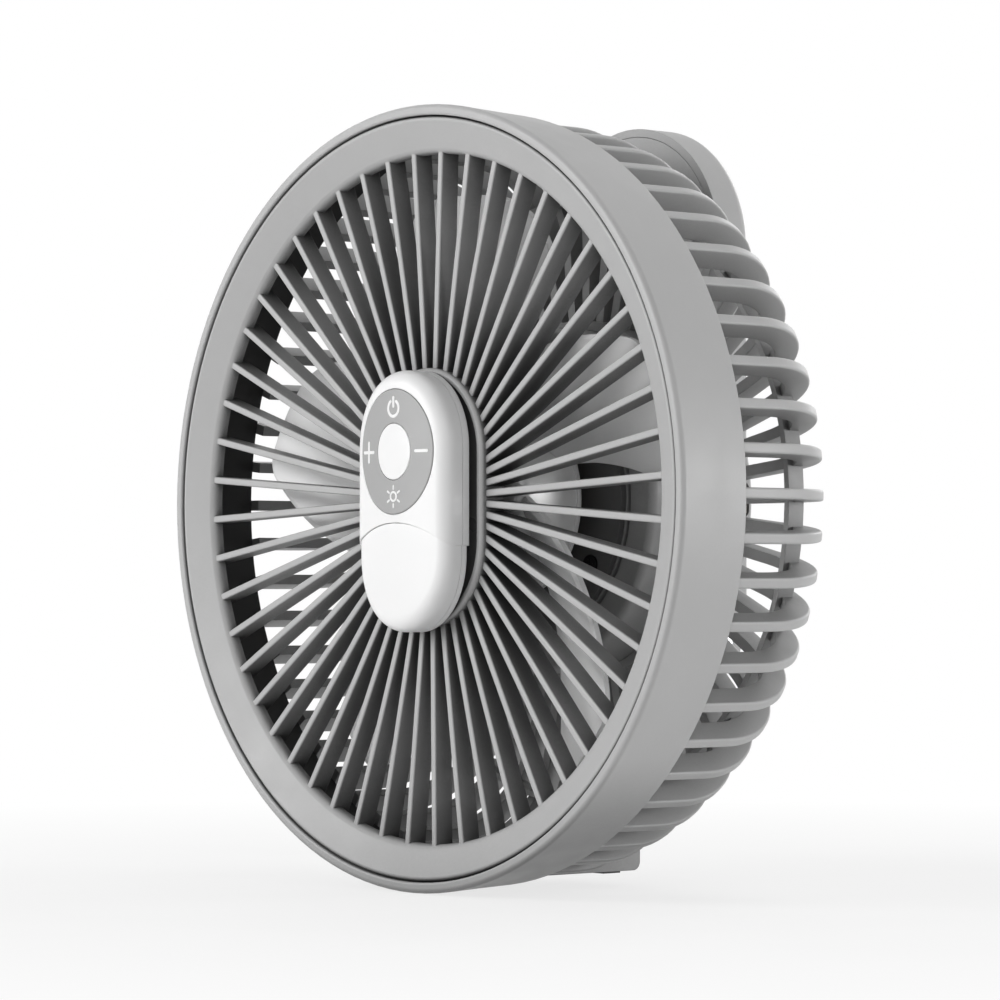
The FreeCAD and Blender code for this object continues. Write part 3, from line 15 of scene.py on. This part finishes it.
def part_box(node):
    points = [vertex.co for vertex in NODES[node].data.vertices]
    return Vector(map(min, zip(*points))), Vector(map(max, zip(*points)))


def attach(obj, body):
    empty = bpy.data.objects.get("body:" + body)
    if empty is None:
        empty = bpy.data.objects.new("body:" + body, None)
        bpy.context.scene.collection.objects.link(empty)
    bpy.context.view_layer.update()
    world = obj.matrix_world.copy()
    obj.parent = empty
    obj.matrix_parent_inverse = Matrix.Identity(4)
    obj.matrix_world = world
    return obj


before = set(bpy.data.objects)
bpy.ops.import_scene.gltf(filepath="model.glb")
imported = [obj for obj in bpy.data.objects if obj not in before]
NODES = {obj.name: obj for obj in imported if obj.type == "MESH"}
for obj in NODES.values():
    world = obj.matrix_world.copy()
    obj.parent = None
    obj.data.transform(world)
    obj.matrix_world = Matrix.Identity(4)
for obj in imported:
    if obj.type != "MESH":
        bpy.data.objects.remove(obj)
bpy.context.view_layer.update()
MM = 0.001

# Camera, measured from the middle of the rim's front plane
CAMERA_FROM_RIM = Vector((0.8147, -0.6803, -0.0245))
CAMERA_RIGHT = Vector((0.6577, 0.7533, 0.0))
CAMERA_UP = Vector((0.0171, -0.0149, 0.9997))
CAMERA_LENS = 146.3
SENSOR_WIDTH = 36.0
CAMERA_CLIP = 0.02

# Key symbols, in millimetres about the middle of the button ring
SYMBOL_STROKE = 0.85
SUN_STROKE = 0.58
SYMBOL_PROUD = 0.04
SYMBOL_DEPTH = 0.12
PLUS_SIDE = 10.9
MINUS_SIDE = 10.4
SYMBOL_ABOVE = 11.3
SYMBOL_BELOW = 11.7
PLUS_WIDTH = 4.4
PLUS_HEIGHT = 5.0
MINUS_WIDTH = 4.0
POWER_RADIUS = 2.1
POWER_GAP_DEG = 66.0
POWER_BAR = 2.3
POWER_BAR_FOOT = 0.5
SUN_RADIUS = 1.15
SUN_RAY_INNER = 1.95
SUN_RAY_OUTER = 2.75
SUN_RAYS = 6
REMOTE_CROWN = 79.0
CAP_STEPS = (0.35, 0.7, 0.95)
ARC_STEPS = 40
LINE_STEPS = 8
RAY_STEPS = 2

# Painted shade in gaps: share of open sky at which a surface counts as deep in a gap,
# and as fully open, and how far the surface looks for its neighbours, in millimetres
PAINTED_SHADE_LOW = 0.3
PAINTED_SHADE_HIGH = 0.9
PAINTED_SHADE_SAMPLES = 8
PAINTED_SHADE_REACH = 40.0

# Shared by all materials: noise, eased edges, and sizes in millimetres
NOISE_ROUGHNESS = 0.5
BEVEL_SAMPLES = 4
CLOUD_SIZE = 28.0
SHEEN_SIZE = 9.0
SHEEN_LESS = 0.04
SHEEN_MORE = 0.05
BLACK = (0.0, 0.0, 0.0, 1.0)
WHITE = (1.0, 1.0, 1.0, 1.0)

# Metals: how dark their patches are, and their grain in millimetres
PATCH_SHARE = 0.82
PATCH_SIZE = 3.0
METAL_SHEEN_SIZE = 1.2
METAL_SHEEN_LESS = 0.05
METAL_SHEEN_MORE = 0.08
METAL_GRAIN = 0.15
METAL_GRAIN_DEPTH = 0.004
METAL_EDGE = 0.15
COPPER_DARK = (0.42, 0.14, 0.05, 1.0)
COPPER_BRIGHT = (0.78, 0.34, 0.16, 1.0)
WIRE_TURNS = 400.0
WIRE_WANDER = 0.6

# Circuit boards and cells
MASK_GREEN = (0.012, 0.09, 0.035, 1.0)
TRACK_GREEN = (0.03, 0.17, 0.06, 1.0)
TRACK_SCALE = 420.0
FILM_DARK = (0.02, 0.1, 0.26, 1.0)
FILM_LIGHT = (0.03, 0.13, 0.32, 1.0)
CAN_GREY = (0.6, 0.6, 0.6, 1.0)
FILM_STOPS = 1.2
CAN_STARTS = 1.0

# Finish of the moulded rotor, whose hub is polished out to HUB_EDGE metres from the axis
HUB_EDGE = 0.0245
HUB_BLEND = 0.002
HUB_ROUGHNESS = 0.14
BLADE_ROUGHNESS = 0.42
ROTOR_SPECULAR = 0.9
ROTOR_SUBSURFACE = 0.5
ROTOR_SUBSURFACE_DEPTH = 0.004

rim_low, rim_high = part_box("rim_band")
RIM_CENTRE = Vector((0, rim_low.y, (rim_low.z + rim_high.z) / 2))


def srgb(level, tint=(1.0, 1.0, 1.0)):
    """Linear colour of a grey given as its 0 to 255 display level."""
    share = level / 255
    linear = share / 12.92 if share < 0.04045 else ((share + 0.055) / 1.055) ** 2.4
    return (linear * tint[0], linear * tint[1], linear * tint[2], 1.0)


class Shader:
    """A new material with short calls that add and link its nodes."""

    def __init__(self, name):
        self.material = bpy.data.materials.new(name)
        self.material.use_nodes = True
        self.tree = self.material.node_tree
        self.tree.nodes.clear()
        self.output = self.add("ShaderNodeOutputMaterial")
        self.surface = self.add("ShaderNodeBsdfPrincipled")
        self.link(self.surface.outputs["BSDF"], self.output.inputs["Surface"])
        self.place = self.add("ShaderNodeTexCoord").outputs["Object"]

    def add(self, kind):
        return self.tree.nodes.new(kind)

    def link(self, source, target):
        self.tree.links.new(source, target)

    def noise(self, size, detail=2.0):
        """Noise whose grains are about size millimetres across."""
        node = self.add("ShaderNodeTexNoise")
        node.inputs["Scale"].default_value = 1 / (size * MM)
        node.inputs["Detail"].default_value = detail
        node.inputs["Roughness"].default_value = NOISE_ROUGHNESS
        self.link(self.place, node.inputs["Vector"])
        return node.outputs["Fac"]

    def spread(self, source, low, high, start=0.3, end=0.7):
        """Maps the middle of a noise's range to low and high."""
        node = self.add("ShaderNodeMapRange")
        node.inputs["From Min"].default_value = start
        node.inputs["From Max"].default_value = end
        node.inputs["To Min"].default_value = low
        node.inputs["To Max"].default_value = high
        self.link(source, node.inputs["Value"])
        return node.outputs["Result"]

    def mix(self, factor, first, second):
        """Mixes two colours, each a constant or a socket."""
        node = self.add("ShaderNodeMix")
        node.data_type = "RGBA"
        self.link(factor, node.inputs["Factor"])
        for socket, value in ((node.inputs["A"], first), (node.inputs["B"], second)):
            if isinstance(value, tuple):
                socket.default_value = value
            else:
                self.link(value, socket)
        return node.outputs["Result"]

    def painted_gap_shade(self, low):
        """Painted shade: 1 in the open, falling to low deep in gaps that are narrow against the
        reach.
        """
        node = self.add("ShaderNodeAmbientOcclusion")
        node.samples = PAINTED_SHADE_SAMPLES
        node.inputs["Distance"].default_value = PAINTED_SHADE_REACH * MM
        return self.spread(node.outputs["AO"], low, 1.0, PAINTED_SHADE_LOW, PAINTED_SHADE_HIGH)

    def soft_edge(self, radius):
        """Normal that rounds sharp edges off by radius millimetres."""
        node = self.add("ShaderNodeBevel")
        node.samples = BEVEL_SAMPLES
        node.inputs["Radius"].default_value = radius * MM
        return node.outputs["Normal"]

    def bump(self, height, depth, normal=None):
        """Bump of depth millimetres over a 0 to 1 height."""
        node = self.add("ShaderNodeBump")
        node.inputs["Distance"].default_value = depth * MM
        self.link(height, node.inputs["Height"])
        if normal is not None:
            self.link(normal, node.inputs["Normal"])
        return node.outputs["Normal"]

    def set(self, name, value):
        """Sets an input of the surface, to a constant or from a socket."""
        if isinstance(value, (int, float, tuple)):
            self.surface.inputs[name].default_value = value
        else:
            self.link(value, self.surface.inputs[name])


def plastic(name, level, roughness, grain=0.35, grain_depth=0.01, edge=0.35,
            tint=(1.0, 1.0, 1.0), cloud=3.0, gap_shade_share=1.0):
    """Moulded plastic: fine spark-eroded grain, faint cloudiness and eased edges.

    Deep in gaps the colour falls to the shade share times itself, as painted shade.
    """
    s = Shader(name)
    patch = s.spread(s.noise(CLOUD_SIZE), 0.0, 1.0)
    speck = s.spread(s.noise(grain * 2), 0.0, 1.0)
    base = s.mix(patch, srgb(level - cloud, tint), srgb(level + cloud, tint))
    base = s.mix(speck, base, srgb(level, tint))
    # Painted shade: the colour is darkened towards black deep in gaps and recesses.
    if gap_shade_share < 1.0:
        base = s.mix(s.painted_gap_shade(gap_shade_share), BLACK, base)
    s.set("Base Color", base)
    sheen = s.spread(s.noise(SHEEN_SIZE), roughness - SHEEN_LESS, roughness + SHEEN_MORE)
    s.set("Roughness", sheen)
    s.set("Normal", s.bump(s.noise(grain), grain_depth, s.soft_edge(edge)))
    return s


def metal(name, colour, roughness):
    """Bare or plated metal with a fine drawn or tumbled surface."""
    s = Shader(name)
    s.set("Metallic", 1.0)
    patch = s.spread(s.noise(PATCH_SIZE, 4.0), 0.0, 1.0)
    darker = tuple(c * PATCH_SHARE for c in colour[:3]) + (1.0,)
    s.set("Base Color", s.mix(patch, darker, colour))
    sheen = s.noise(METAL_SHEEN_SIZE, 3.0)
    s.set("Roughness", s.spread(sheen, roughness - METAL_SHEEN_LESS,
                                roughness + METAL_SHEEN_MORE))
    grain = s.noise(METAL_GRAIN)
    s.set("Normal", s.bump(grain, METAL_GRAIN_DEPTH, s.soft_edge(METAL_EDGE)))
    return s


def dress(shader, *names):
    """Gives each CAD node this material."""
    for name in names:
        mesh = NODES[name].data
        mesh.materials.clear()
        mesh.materials.append(shader.material)


# Plastics
# Greys given a gap shade share below one have painted shade in their gaps; the front grille's
# grey is the body grey with much deeper painted shade.
body_grey = plastic("body_grey", 182, 0.44, gap_shade_share=0.45)
grille_grey_deep_shade = plastic("grille_grey_deep_shade", 182, 0.44, gap_shade_share=0.08)
dark_grey = plastic("dark_grey", 52, 0.5, gap_shade_share=0.7)
mount_grey = plastic("mount_grey", 90, 0.46, grain_depth=0.006, gap_shade_share=0.8)
remote_white = plastic("remote_white", 250, 0.34, grain=0.2, grain_depth=0.002, edge=0.25,
                       cloud=1.0)
key_grey = plastic("key_grey", 170, 0.38, grain=0.2, grain_depth=0.004, edge=0.15, cloud=1.5)
soft_rubber = plastic("soft_rubber", 78, 0.75, grain=0.5, grain_depth=0.02)
nylon = plastic("nylon", 222, 0.4, grain_depth=0.004)


def rotor_plastic():
    """Pale see-through grey: satin blades and a polished hub."""
    s = plastic("blade_grey", 224, 0.4, grain=0.3, grain_depth=0.002, edge=0.3, cloud=2.0)
    away = s.add("ShaderNodeVectorMath")
    away.operation = "MULTIPLY_ADD"
    away.inputs[1].default_value = (1.0, 0.0, 1.0)
    away.inputs[2].default_value = (0.0, 0.0, -RIM_CENTRE.z)
    s.link(s.place, away.inputs[0])
    reach = s.add("ShaderNodeVectorMath")
    reach.operation = "LENGTH"
    s.link(away.outputs["Vector"], reach.inputs[0])
    gloss = s.spread(reach.outputs["Value"], HUB_ROUGHNESS, BLADE_ROUGHNESS,
                     HUB_EDGE, HUB_EDGE + HUB_BLEND)
    s.set("Roughness", gloss)
    s.set("Specular IOR Level", ROTOR_SPECULAR)
    s.set("Subsurface Weight", ROTOR_SUBSURFACE)
    s.set("Subsurface Radius", (1.0, 1.0, 1.0))
    s.set("Subsurface Scale", ROTOR_SUBSURFACE_DEPTH)
    return s


# The lamp diffuser is made dark to stand in for the shade in the gap round the remote: painted
# shade.
lamp_smoke = plastic("lamp_smoke", 72, 0.3, grain=0.25, grain_depth=0.003, cloud=2.0)
lamp_opal = plastic("lamp_opal", 236, 0.32, grain=0.25, grain_depth=0.004)
lamp_opal.set("Subsurface Weight", 0.6)
lamp_opal.set("Subsurface Radius", (1.0, 0.95, 0.85))
lamp_opal.set("Subsurface Scale", 0.0015)

# Metals
steel = metal("steel", (0.56, 0.57, 0.58, 1.0), 0.3)
zinc = metal("zinc", (0.62, 0.62, 0.6, 1.0), 0.34)
black_oxide = metal("black_oxide", (0.035, 0.035, 0.037, 1.0), 0.36)
nickel = metal("nickel", (0.66, 0.64, 0.6, 1.0), 0.22)


def copper_wire():
    """Enamelled winding: bright copper with the turns showing as fine ridges."""
    s = Shader("copper_wire")
    s.set("Metallic", 1.0)
    wave = s.add("ShaderNodeTexWave")
    wave.bands_direction = "Y"
    wave.inputs["Scale"].default_value = WIRE_TURNS
    wave.inputs["Distortion"].default_value = WIRE_WANDER
    s.link(s.place, wave.inputs["Vector"])
    turns = wave.outputs["Fac"]
    # Each turn is lighter on its crest and darker in the groove between turns: painted shade
    # along the ridges.
    s.set("Base Color", s.mix(turns, COPPER_DARK, COPPER_BRIGHT))
    s.set("Roughness", s.spread(s.noise(2.0), 0.26, 0.36))
    s.set("Normal", s.bump(turns, 0.15))
    return s


def circuit_board():
    """Green solder mask over a fine net of tracks."""
    s = Shader("circuit_board")
    tracks = s.add("ShaderNodeTexVoronoi")
    tracks.feature = "DISTANCE_TO_EDGE"
    tracks.distance = "MANHATTAN"
    tracks.inputs["Scale"].default_value = TRACK_SCALE
    s.link(s.place, tracks.inputs["Vector"])
    track = s.spread(tracks.outputs["Distance"], 1.0, 0.0, 0.03, 0.07)
    s.set("Base Color", s.mix(track, MASK_GREEN, TRACK_GREEN))
    s.set("Roughness", s.spread(s.noise(3.0), 0.28, 0.4))
    s.set("Normal", s.bump(track, 0.03, s.soft_edge(0.1)))
    return s


def cell_wrap():
    """Shrink film over a cell, with the bare steel can showing at its ends."""
    s = Shader("cell_wrap")
    split = s.add("ShaderNodeSeparateXYZ")
    s.link(s.place, split.inputs["Vector"])
    low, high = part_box("cell_2")
    middle = (low.z + high.z) / 2
    away = s.add("ShaderNodeMath")
    away.operation = "SUBTRACT"
    away.inputs[1].default_value = middle
    s.link(split.outputs["Z"], away.inputs[0])
    size = s.add("ShaderNodeMath")
    size.operation = "ABSOLUTE"
    s.link(away.outputs["Value"], size.inputs[0])
    half = (high.z - low.z) / 2
    bare = s.spread(size.outputs["Value"], 0.0, 1.0, half - FILM_STOPS * MM,
                    half - CAN_STARTS * MM)
    film = s.mix(s.spread(s.noise(12.0), 0.0, 1.0), FILM_DARK, FILM_LIGHT)
    s.set("Base Color", s.mix(bare, film, CAN_GREY))
    s.set("Metallic", bare)
    s.set("Roughness", s.spread(s.noise(5.0), 0.3, 0.42))
    s.set("Normal", s.bump(s.noise(4.0), 0.05, s.soft_edge(0.2)))
    return s


dress(body_grey, "rim_band", "rear_grille", "pod_housing", "pod_cover", "stand_arm",
      "stand_liner", "dock_cover")
dress(grille_grey_deep_shade, "front_grille")
# The duct ring is dark grey, a dark liner put inside the duct for the shade seen there: painted
# shade.
dress(dark_grey, "duct_ring", "dock_seat", "cell_holder", "power_button")
dress(mount_grey, "motor_base")
dress(rotor_plastic(), "fan_rotor")
dress(remote_white, "remote_body", "remote_back", "battery_door", "centre_button")
dress(key_grey, "button_ring")
# Dark diffuser: painted shade in the gap round the remote.
dress(lamp_smoke, "lamp_diffuser")
dress(lamp_opal, "status_lens")
dress(soft_rubber, "foot_pad_front", "foot_pad_rear")
dress(nylon, "hinge_washer_left", "hinge_washer_right")
dress(steel, "motor_shaft", "bearing_front", "bearing_rear", "hinge_pin", "motor_bell",
      "stator_core", "remote_disc_upper", "remote_disc_lower")
dress(zinc, *[n for n in NODES if "screw" in n and "motor" not in n])
dress(black_oxide, "motor_screw_1", "motor_screw_2", "motor_screw_3")
dress(nickel, "usb_port", "coin_cell", "dock_magnet_upper", "dock_magnet_lower", "magnet_ring")
dress(copper_wire(), "stator_coils")
dress(circuit_board(), "charge_board", "main_board", "lamp_board", "remote_board")
dress(cell_wrap(), "cell_1", "cell_2", "cell_3")
emitter_tint = plastic("emitter_tint", 60, 0.15, tint=(0.9, 0.6, 1.3))
dress(emitter_tint, "remote_emitter")


# Symbols on the keys
RING_FRONT_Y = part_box("button_ring")[0].y
key_low, key_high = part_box("centre_button")
RING_MIDDLE_Z = (key_low.z + key_high.z) / 2


def ring_front(x):
    """Y of the button ring's curved front face at this distance from its middle, in metres."""
    radius = REMOTE_CROWN * MM
    return RING_FRONT_Y + radius - math.sqrt(radius * radius - x * x)


def stroke(mesh, points, closed, width):
    """Adds one flat line of the symbol along points, with round ends, as a thin solid."""
    half = width / 2
    spots = [Vector(p) for p in points]
    sections = []
    count = len(spots)
    for i, spot in enumerate(spots):
        before = spots[i - 1] if i or closed else None
        after = spots[(i + 1) % count] if i + 1 < count or closed else None
        along = ((after or spot) - (before or spot)).normalized()
        sections.append((spot, along, half))
    if not closed:
        first, last = sections[0], sections[-1]
        caps = [(s, math.sqrt(1 - s * s)) for s in CAP_STEPS]
        head = [(first[0] - first[1] * half * s, first[1], half * c) for s, c in caps]
        tail = [(last[0] + last[1] * half * s, last[1], half * c) for s, c in caps]
        sections = head[::-1] + sections + tail
    rows = []
    for spot, along, reach in sections:
        side = Vector((-along.y, along.x)) * reach
        row = []
        for place, sink in ((spot + side, -SYMBOL_PROUD), (spot - side, -SYMBOL_PROUD),
                            (spot - side, SYMBOL_DEPTH), (spot + side, SYMBOL_DEPTH)):
            x, z = place.x * MM, place.y * MM
            row.append(mesh.verts.new((x, ring_front(x) + sink * MM, RING_MIDDLE_Z + z)))
        rows.append(row)
    pairs = list(zip(rows, rows[1:])) + ([(rows[-1], rows[0])] if closed else [])
    for one, two in pairs:
        for k in range(4):
            m = (k + 1) % 4
            mesh.faces.new((one[k], one[m], two[m], two[k]))
    if not closed:
        mesh.faces.new(rows[0][::-1])
        mesh.faces.new(rows[-1])


def arc(x, z, radius, start, end):
    """Points of an arc, in degrees counted from +X towards +Z."""
    angles = [math.radians(start + (end - start) * k / ARC_STEPS) for k in range(ARC_STEPS + 1)]
    return [(x + radius * math.cos(a), z + radius * math.sin(a)) for a in angles]


def line(x0, z0, x1, z1, steps=LINE_STEPS):
    """Points of a straight line."""
    return [(x0 + (x1 - x0) * k / steps, z0 + (z1 - z0) * k / steps) for k in range(steps + 1)]


def symbol(name, strokes, width=SYMBOL_STROKE):
    """One symbol from its strokes, moving with the button ring."""
    mesh = bmesh.new()
    for points, closed in strokes:
        stroke(mesh, points, closed, width)
    bmesh.ops.recalc_face_normals(mesh, faces=mesh.faces)
    data = bpy.data.meshes.new(name)
    mesh.to_mesh(data)
    mesh.free()
    obj = bpy.data.objects.new(name, data)
    bpy.context.scene.collection.objects.link(obj)
    data.materials.append(remote_white.material)
    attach(obj, "ring_key")


gap = POWER_GAP_DEG / 2
bar_foot = SYMBOL_ABOVE + POWER_BAR_FOOT
symbol("power_symbol", [
    (arc(0, SYMBOL_ABOVE, POWER_RADIUS, 90 + gap, 450 - gap), False),
    (line(0, bar_foot, 0, bar_foot + POWER_BAR), False),
])
symbol("plus_symbol", [
    (line(-PLUS_SIDE - PLUS_WIDTH / 2, 0, -PLUS_SIDE + PLUS_WIDTH / 2, 0), False),
    (line(-PLUS_SIDE, -PLUS_HEIGHT / 2, -PLUS_SIDE, PLUS_HEIGHT / 2), False),
])
symbol("minus_symbol", [
    (line(MINUS_SIDE - MINUS_WIDTH / 2, 0, MINUS_SIDE + MINUS_WIDTH / 2, 0), False),
])
rays = [(arc(0, -SYMBOL_BELOW, SUN_RADIUS, 0, 360)[:-1], True)]
for k in range(SUN_RAYS):
    turn = math.radians(90 + k * 360 / SUN_RAYS)
    c, s = math.cos(turn), math.sin(turn)
    near, far = SUN_RAY_INNER, SUN_RAY_OUTER
    ray = line(c * near, s * near - SYMBOL_BELOW, c * far, s * far - SYMBOL_BELOW, RAY_STEPS)
    rays.append((ray, False))
symbol("lamp_symbol", rays, SUN_STROKE)


# Light: soft lamps all round at a plain level, and a white surround for the camera
WORLD_LEVEL = 0.14
LAMPS = (  # name, place, power in watts, width
    ("front_lamp", (-0.75, -1.4, 0.6), 17.0, 1.0),
    ("fill_lamp", (1.35, -0.75, 0.45), 3.5, 1.0),
    ("right_lamp", (1.2, 0.9, 0.2), 7.0, 0.4),
    ("left_lamp", (-1.4, 0.5, 0.5), 2.5, 1.0),
    ("top_lamp", (0.1, 0.3, 1.5), 4.5, 1.0),
    ("rear_lamp", (-0.4, 1.5, 0.7), 5.0, 1.0),
)


def lamp(name, place, power, size):
    """A round soft lamp that faces the middle of the rim."""
    data = bpy.data.lights.new(name, "AREA")
    data.shape = "DISK"
    data.size = size
    data.energy = power
    obj = bpy.data.objects.new(name, data)
    obj.location = place
    obj.rotation_euler = (RIM_CENTRE - Vector(place)).to_track_quat("-Z", "Y").to_euler()
    bpy.context.scene.collection.objects.link(obj)


for row in LAMPS:
    lamp(*row)


def seen_directly(tree):
    """1 for rays that show the surround itself: camera, glossy and transmission rays."""
    path = tree.nodes.new("ShaderNodeLightPath")
    total = path.outputs["Is Camera Ray"]
    for name in ("Is Glossy Ray", "Is Transmission Ray"):
        most = tree.nodes.new("ShaderNodeMath")
        most.operation = "MAXIMUM"
        tree.links.new(total, most.inputs[0])
        tree.links.new(path.outputs[name], most.inputs[1])
        total = most.outputs["Value"]
    return total


world = bpy.data.worlds.new("surround")
bpy.context.scene.world = world
world.use_nodes = True
tree = world.node_tree
tree.nodes.clear()
ambient = tree.nodes.new("ShaderNodeBackground")
ambient.inputs["Strength"].default_value = WORLD_LEVEL
white = tree.nodes.new("ShaderNodeBackground")
choose = tree.nodes.new("ShaderNodeMixShader")
out = tree.nodes.new("ShaderNodeOutputWorld")
for node in (ambient, white):
    node.inputs["Color"].default_value = WHITE
tree.links.new(seen_directly(tree), choose.inputs["Fac"])
tree.links.new(ambient.outputs["Background"], choose.inputs[1])
tree.links.new(white.outputs["Background"], choose.inputs[2])
tree.links.new(choose.outputs["Shader"], out.inputs["Surface"])

# Floor: pale, fading to white away from the fan, with the fan's shadow kept
FLOOR_HALF = 6.0
FLOOR_DARK = 240
FLOOR_LIGHT = 244
FLOOR_CLOUD = 60.0
FLOOR_ROUGHNESS = 0.8
FLOOR_SHADOW_SHARE = 0.25
FLOOR_CLEAR = 0.45
FLOOR_NEAR = 0.15
floor_data = bpy.data.meshes.new("floor")
corners = [(x * FLOOR_HALF, y * FLOOR_HALF, 0) for x, y in ((-1, -1), (1, -1), (1, 1), (-1, 1))]
floor_data.from_pydata(corners, [], [(0, 1, 2, 3)])
floor = bpy.data.objects.new("floor", floor_data)
bpy.context.scene.collection.objects.link(floor)
paper = Shader("floor_paper")
cloud = paper.spread(paper.noise(FLOOR_CLOUD), 0.0, 1.0)
paper.set("Base Color", paper.mix(cloud, srgb(FLOOR_DARK), srgb(FLOOR_LIGHT)))
paper.set("Roughness", FLOOR_ROUGHNESS)
glow = paper.add("ShaderNodeEmission")
distance = paper.add("ShaderNodeVectorMath")
distance.operation = "LENGTH"
paper.link(paper.place, distance.inputs[0])
fade = paper.spread(distance.outputs["Value"], 1 - FLOOR_SHADOW_SHARE, 1.0,
                    FLOOR_NEAR, FLOOR_CLEAR)
share = paper.add("ShaderNodeMath")
share.operation = "MULTIPLY"
paper.link(fade, share.inputs[1])
paper.link(seen_directly(paper.tree), share.inputs[0])
blend = paper.add("ShaderNodeMixShader")
paper.link(share.outputs["Value"], blend.inputs["Fac"])
paper.link(paper.surface.outputs["BSDF"], blend.inputs[1])
paper.link(glow.outputs["Emission"], blend.inputs[2])
paper.link(blend.outputs["Shader"], paper.output.inputs["Surface"])
floor_data.materials.append(paper.material)

# Camera
camera_data = bpy.data.cameras.new("camera")
camera_data.lens = CAMERA_LENS
camera_data.sensor_width = SENSOR_WIDTH
camera_data.clip_start = CAMERA_CLIP
camera = bpy.data.objects.new("camera", camera_data)
forward = CAMERA_UP.cross(CAMERA_RIGHT).normalized()
up = CAMERA_RIGHT.cross(forward).normalized()
turn = Matrix((CAMERA_RIGHT, up, -forward)).transposed()
camera.matrix_world = Matrix.Translation(RIM_CENTRE + CAMERA_FROM_RIM) @ turn.to_4x4()
bpy.context.scene.collection.objects.link(camera)
bpy.context.scene.camera = camera
bpy.context.scene.view_settings.view_transform = "Standard"
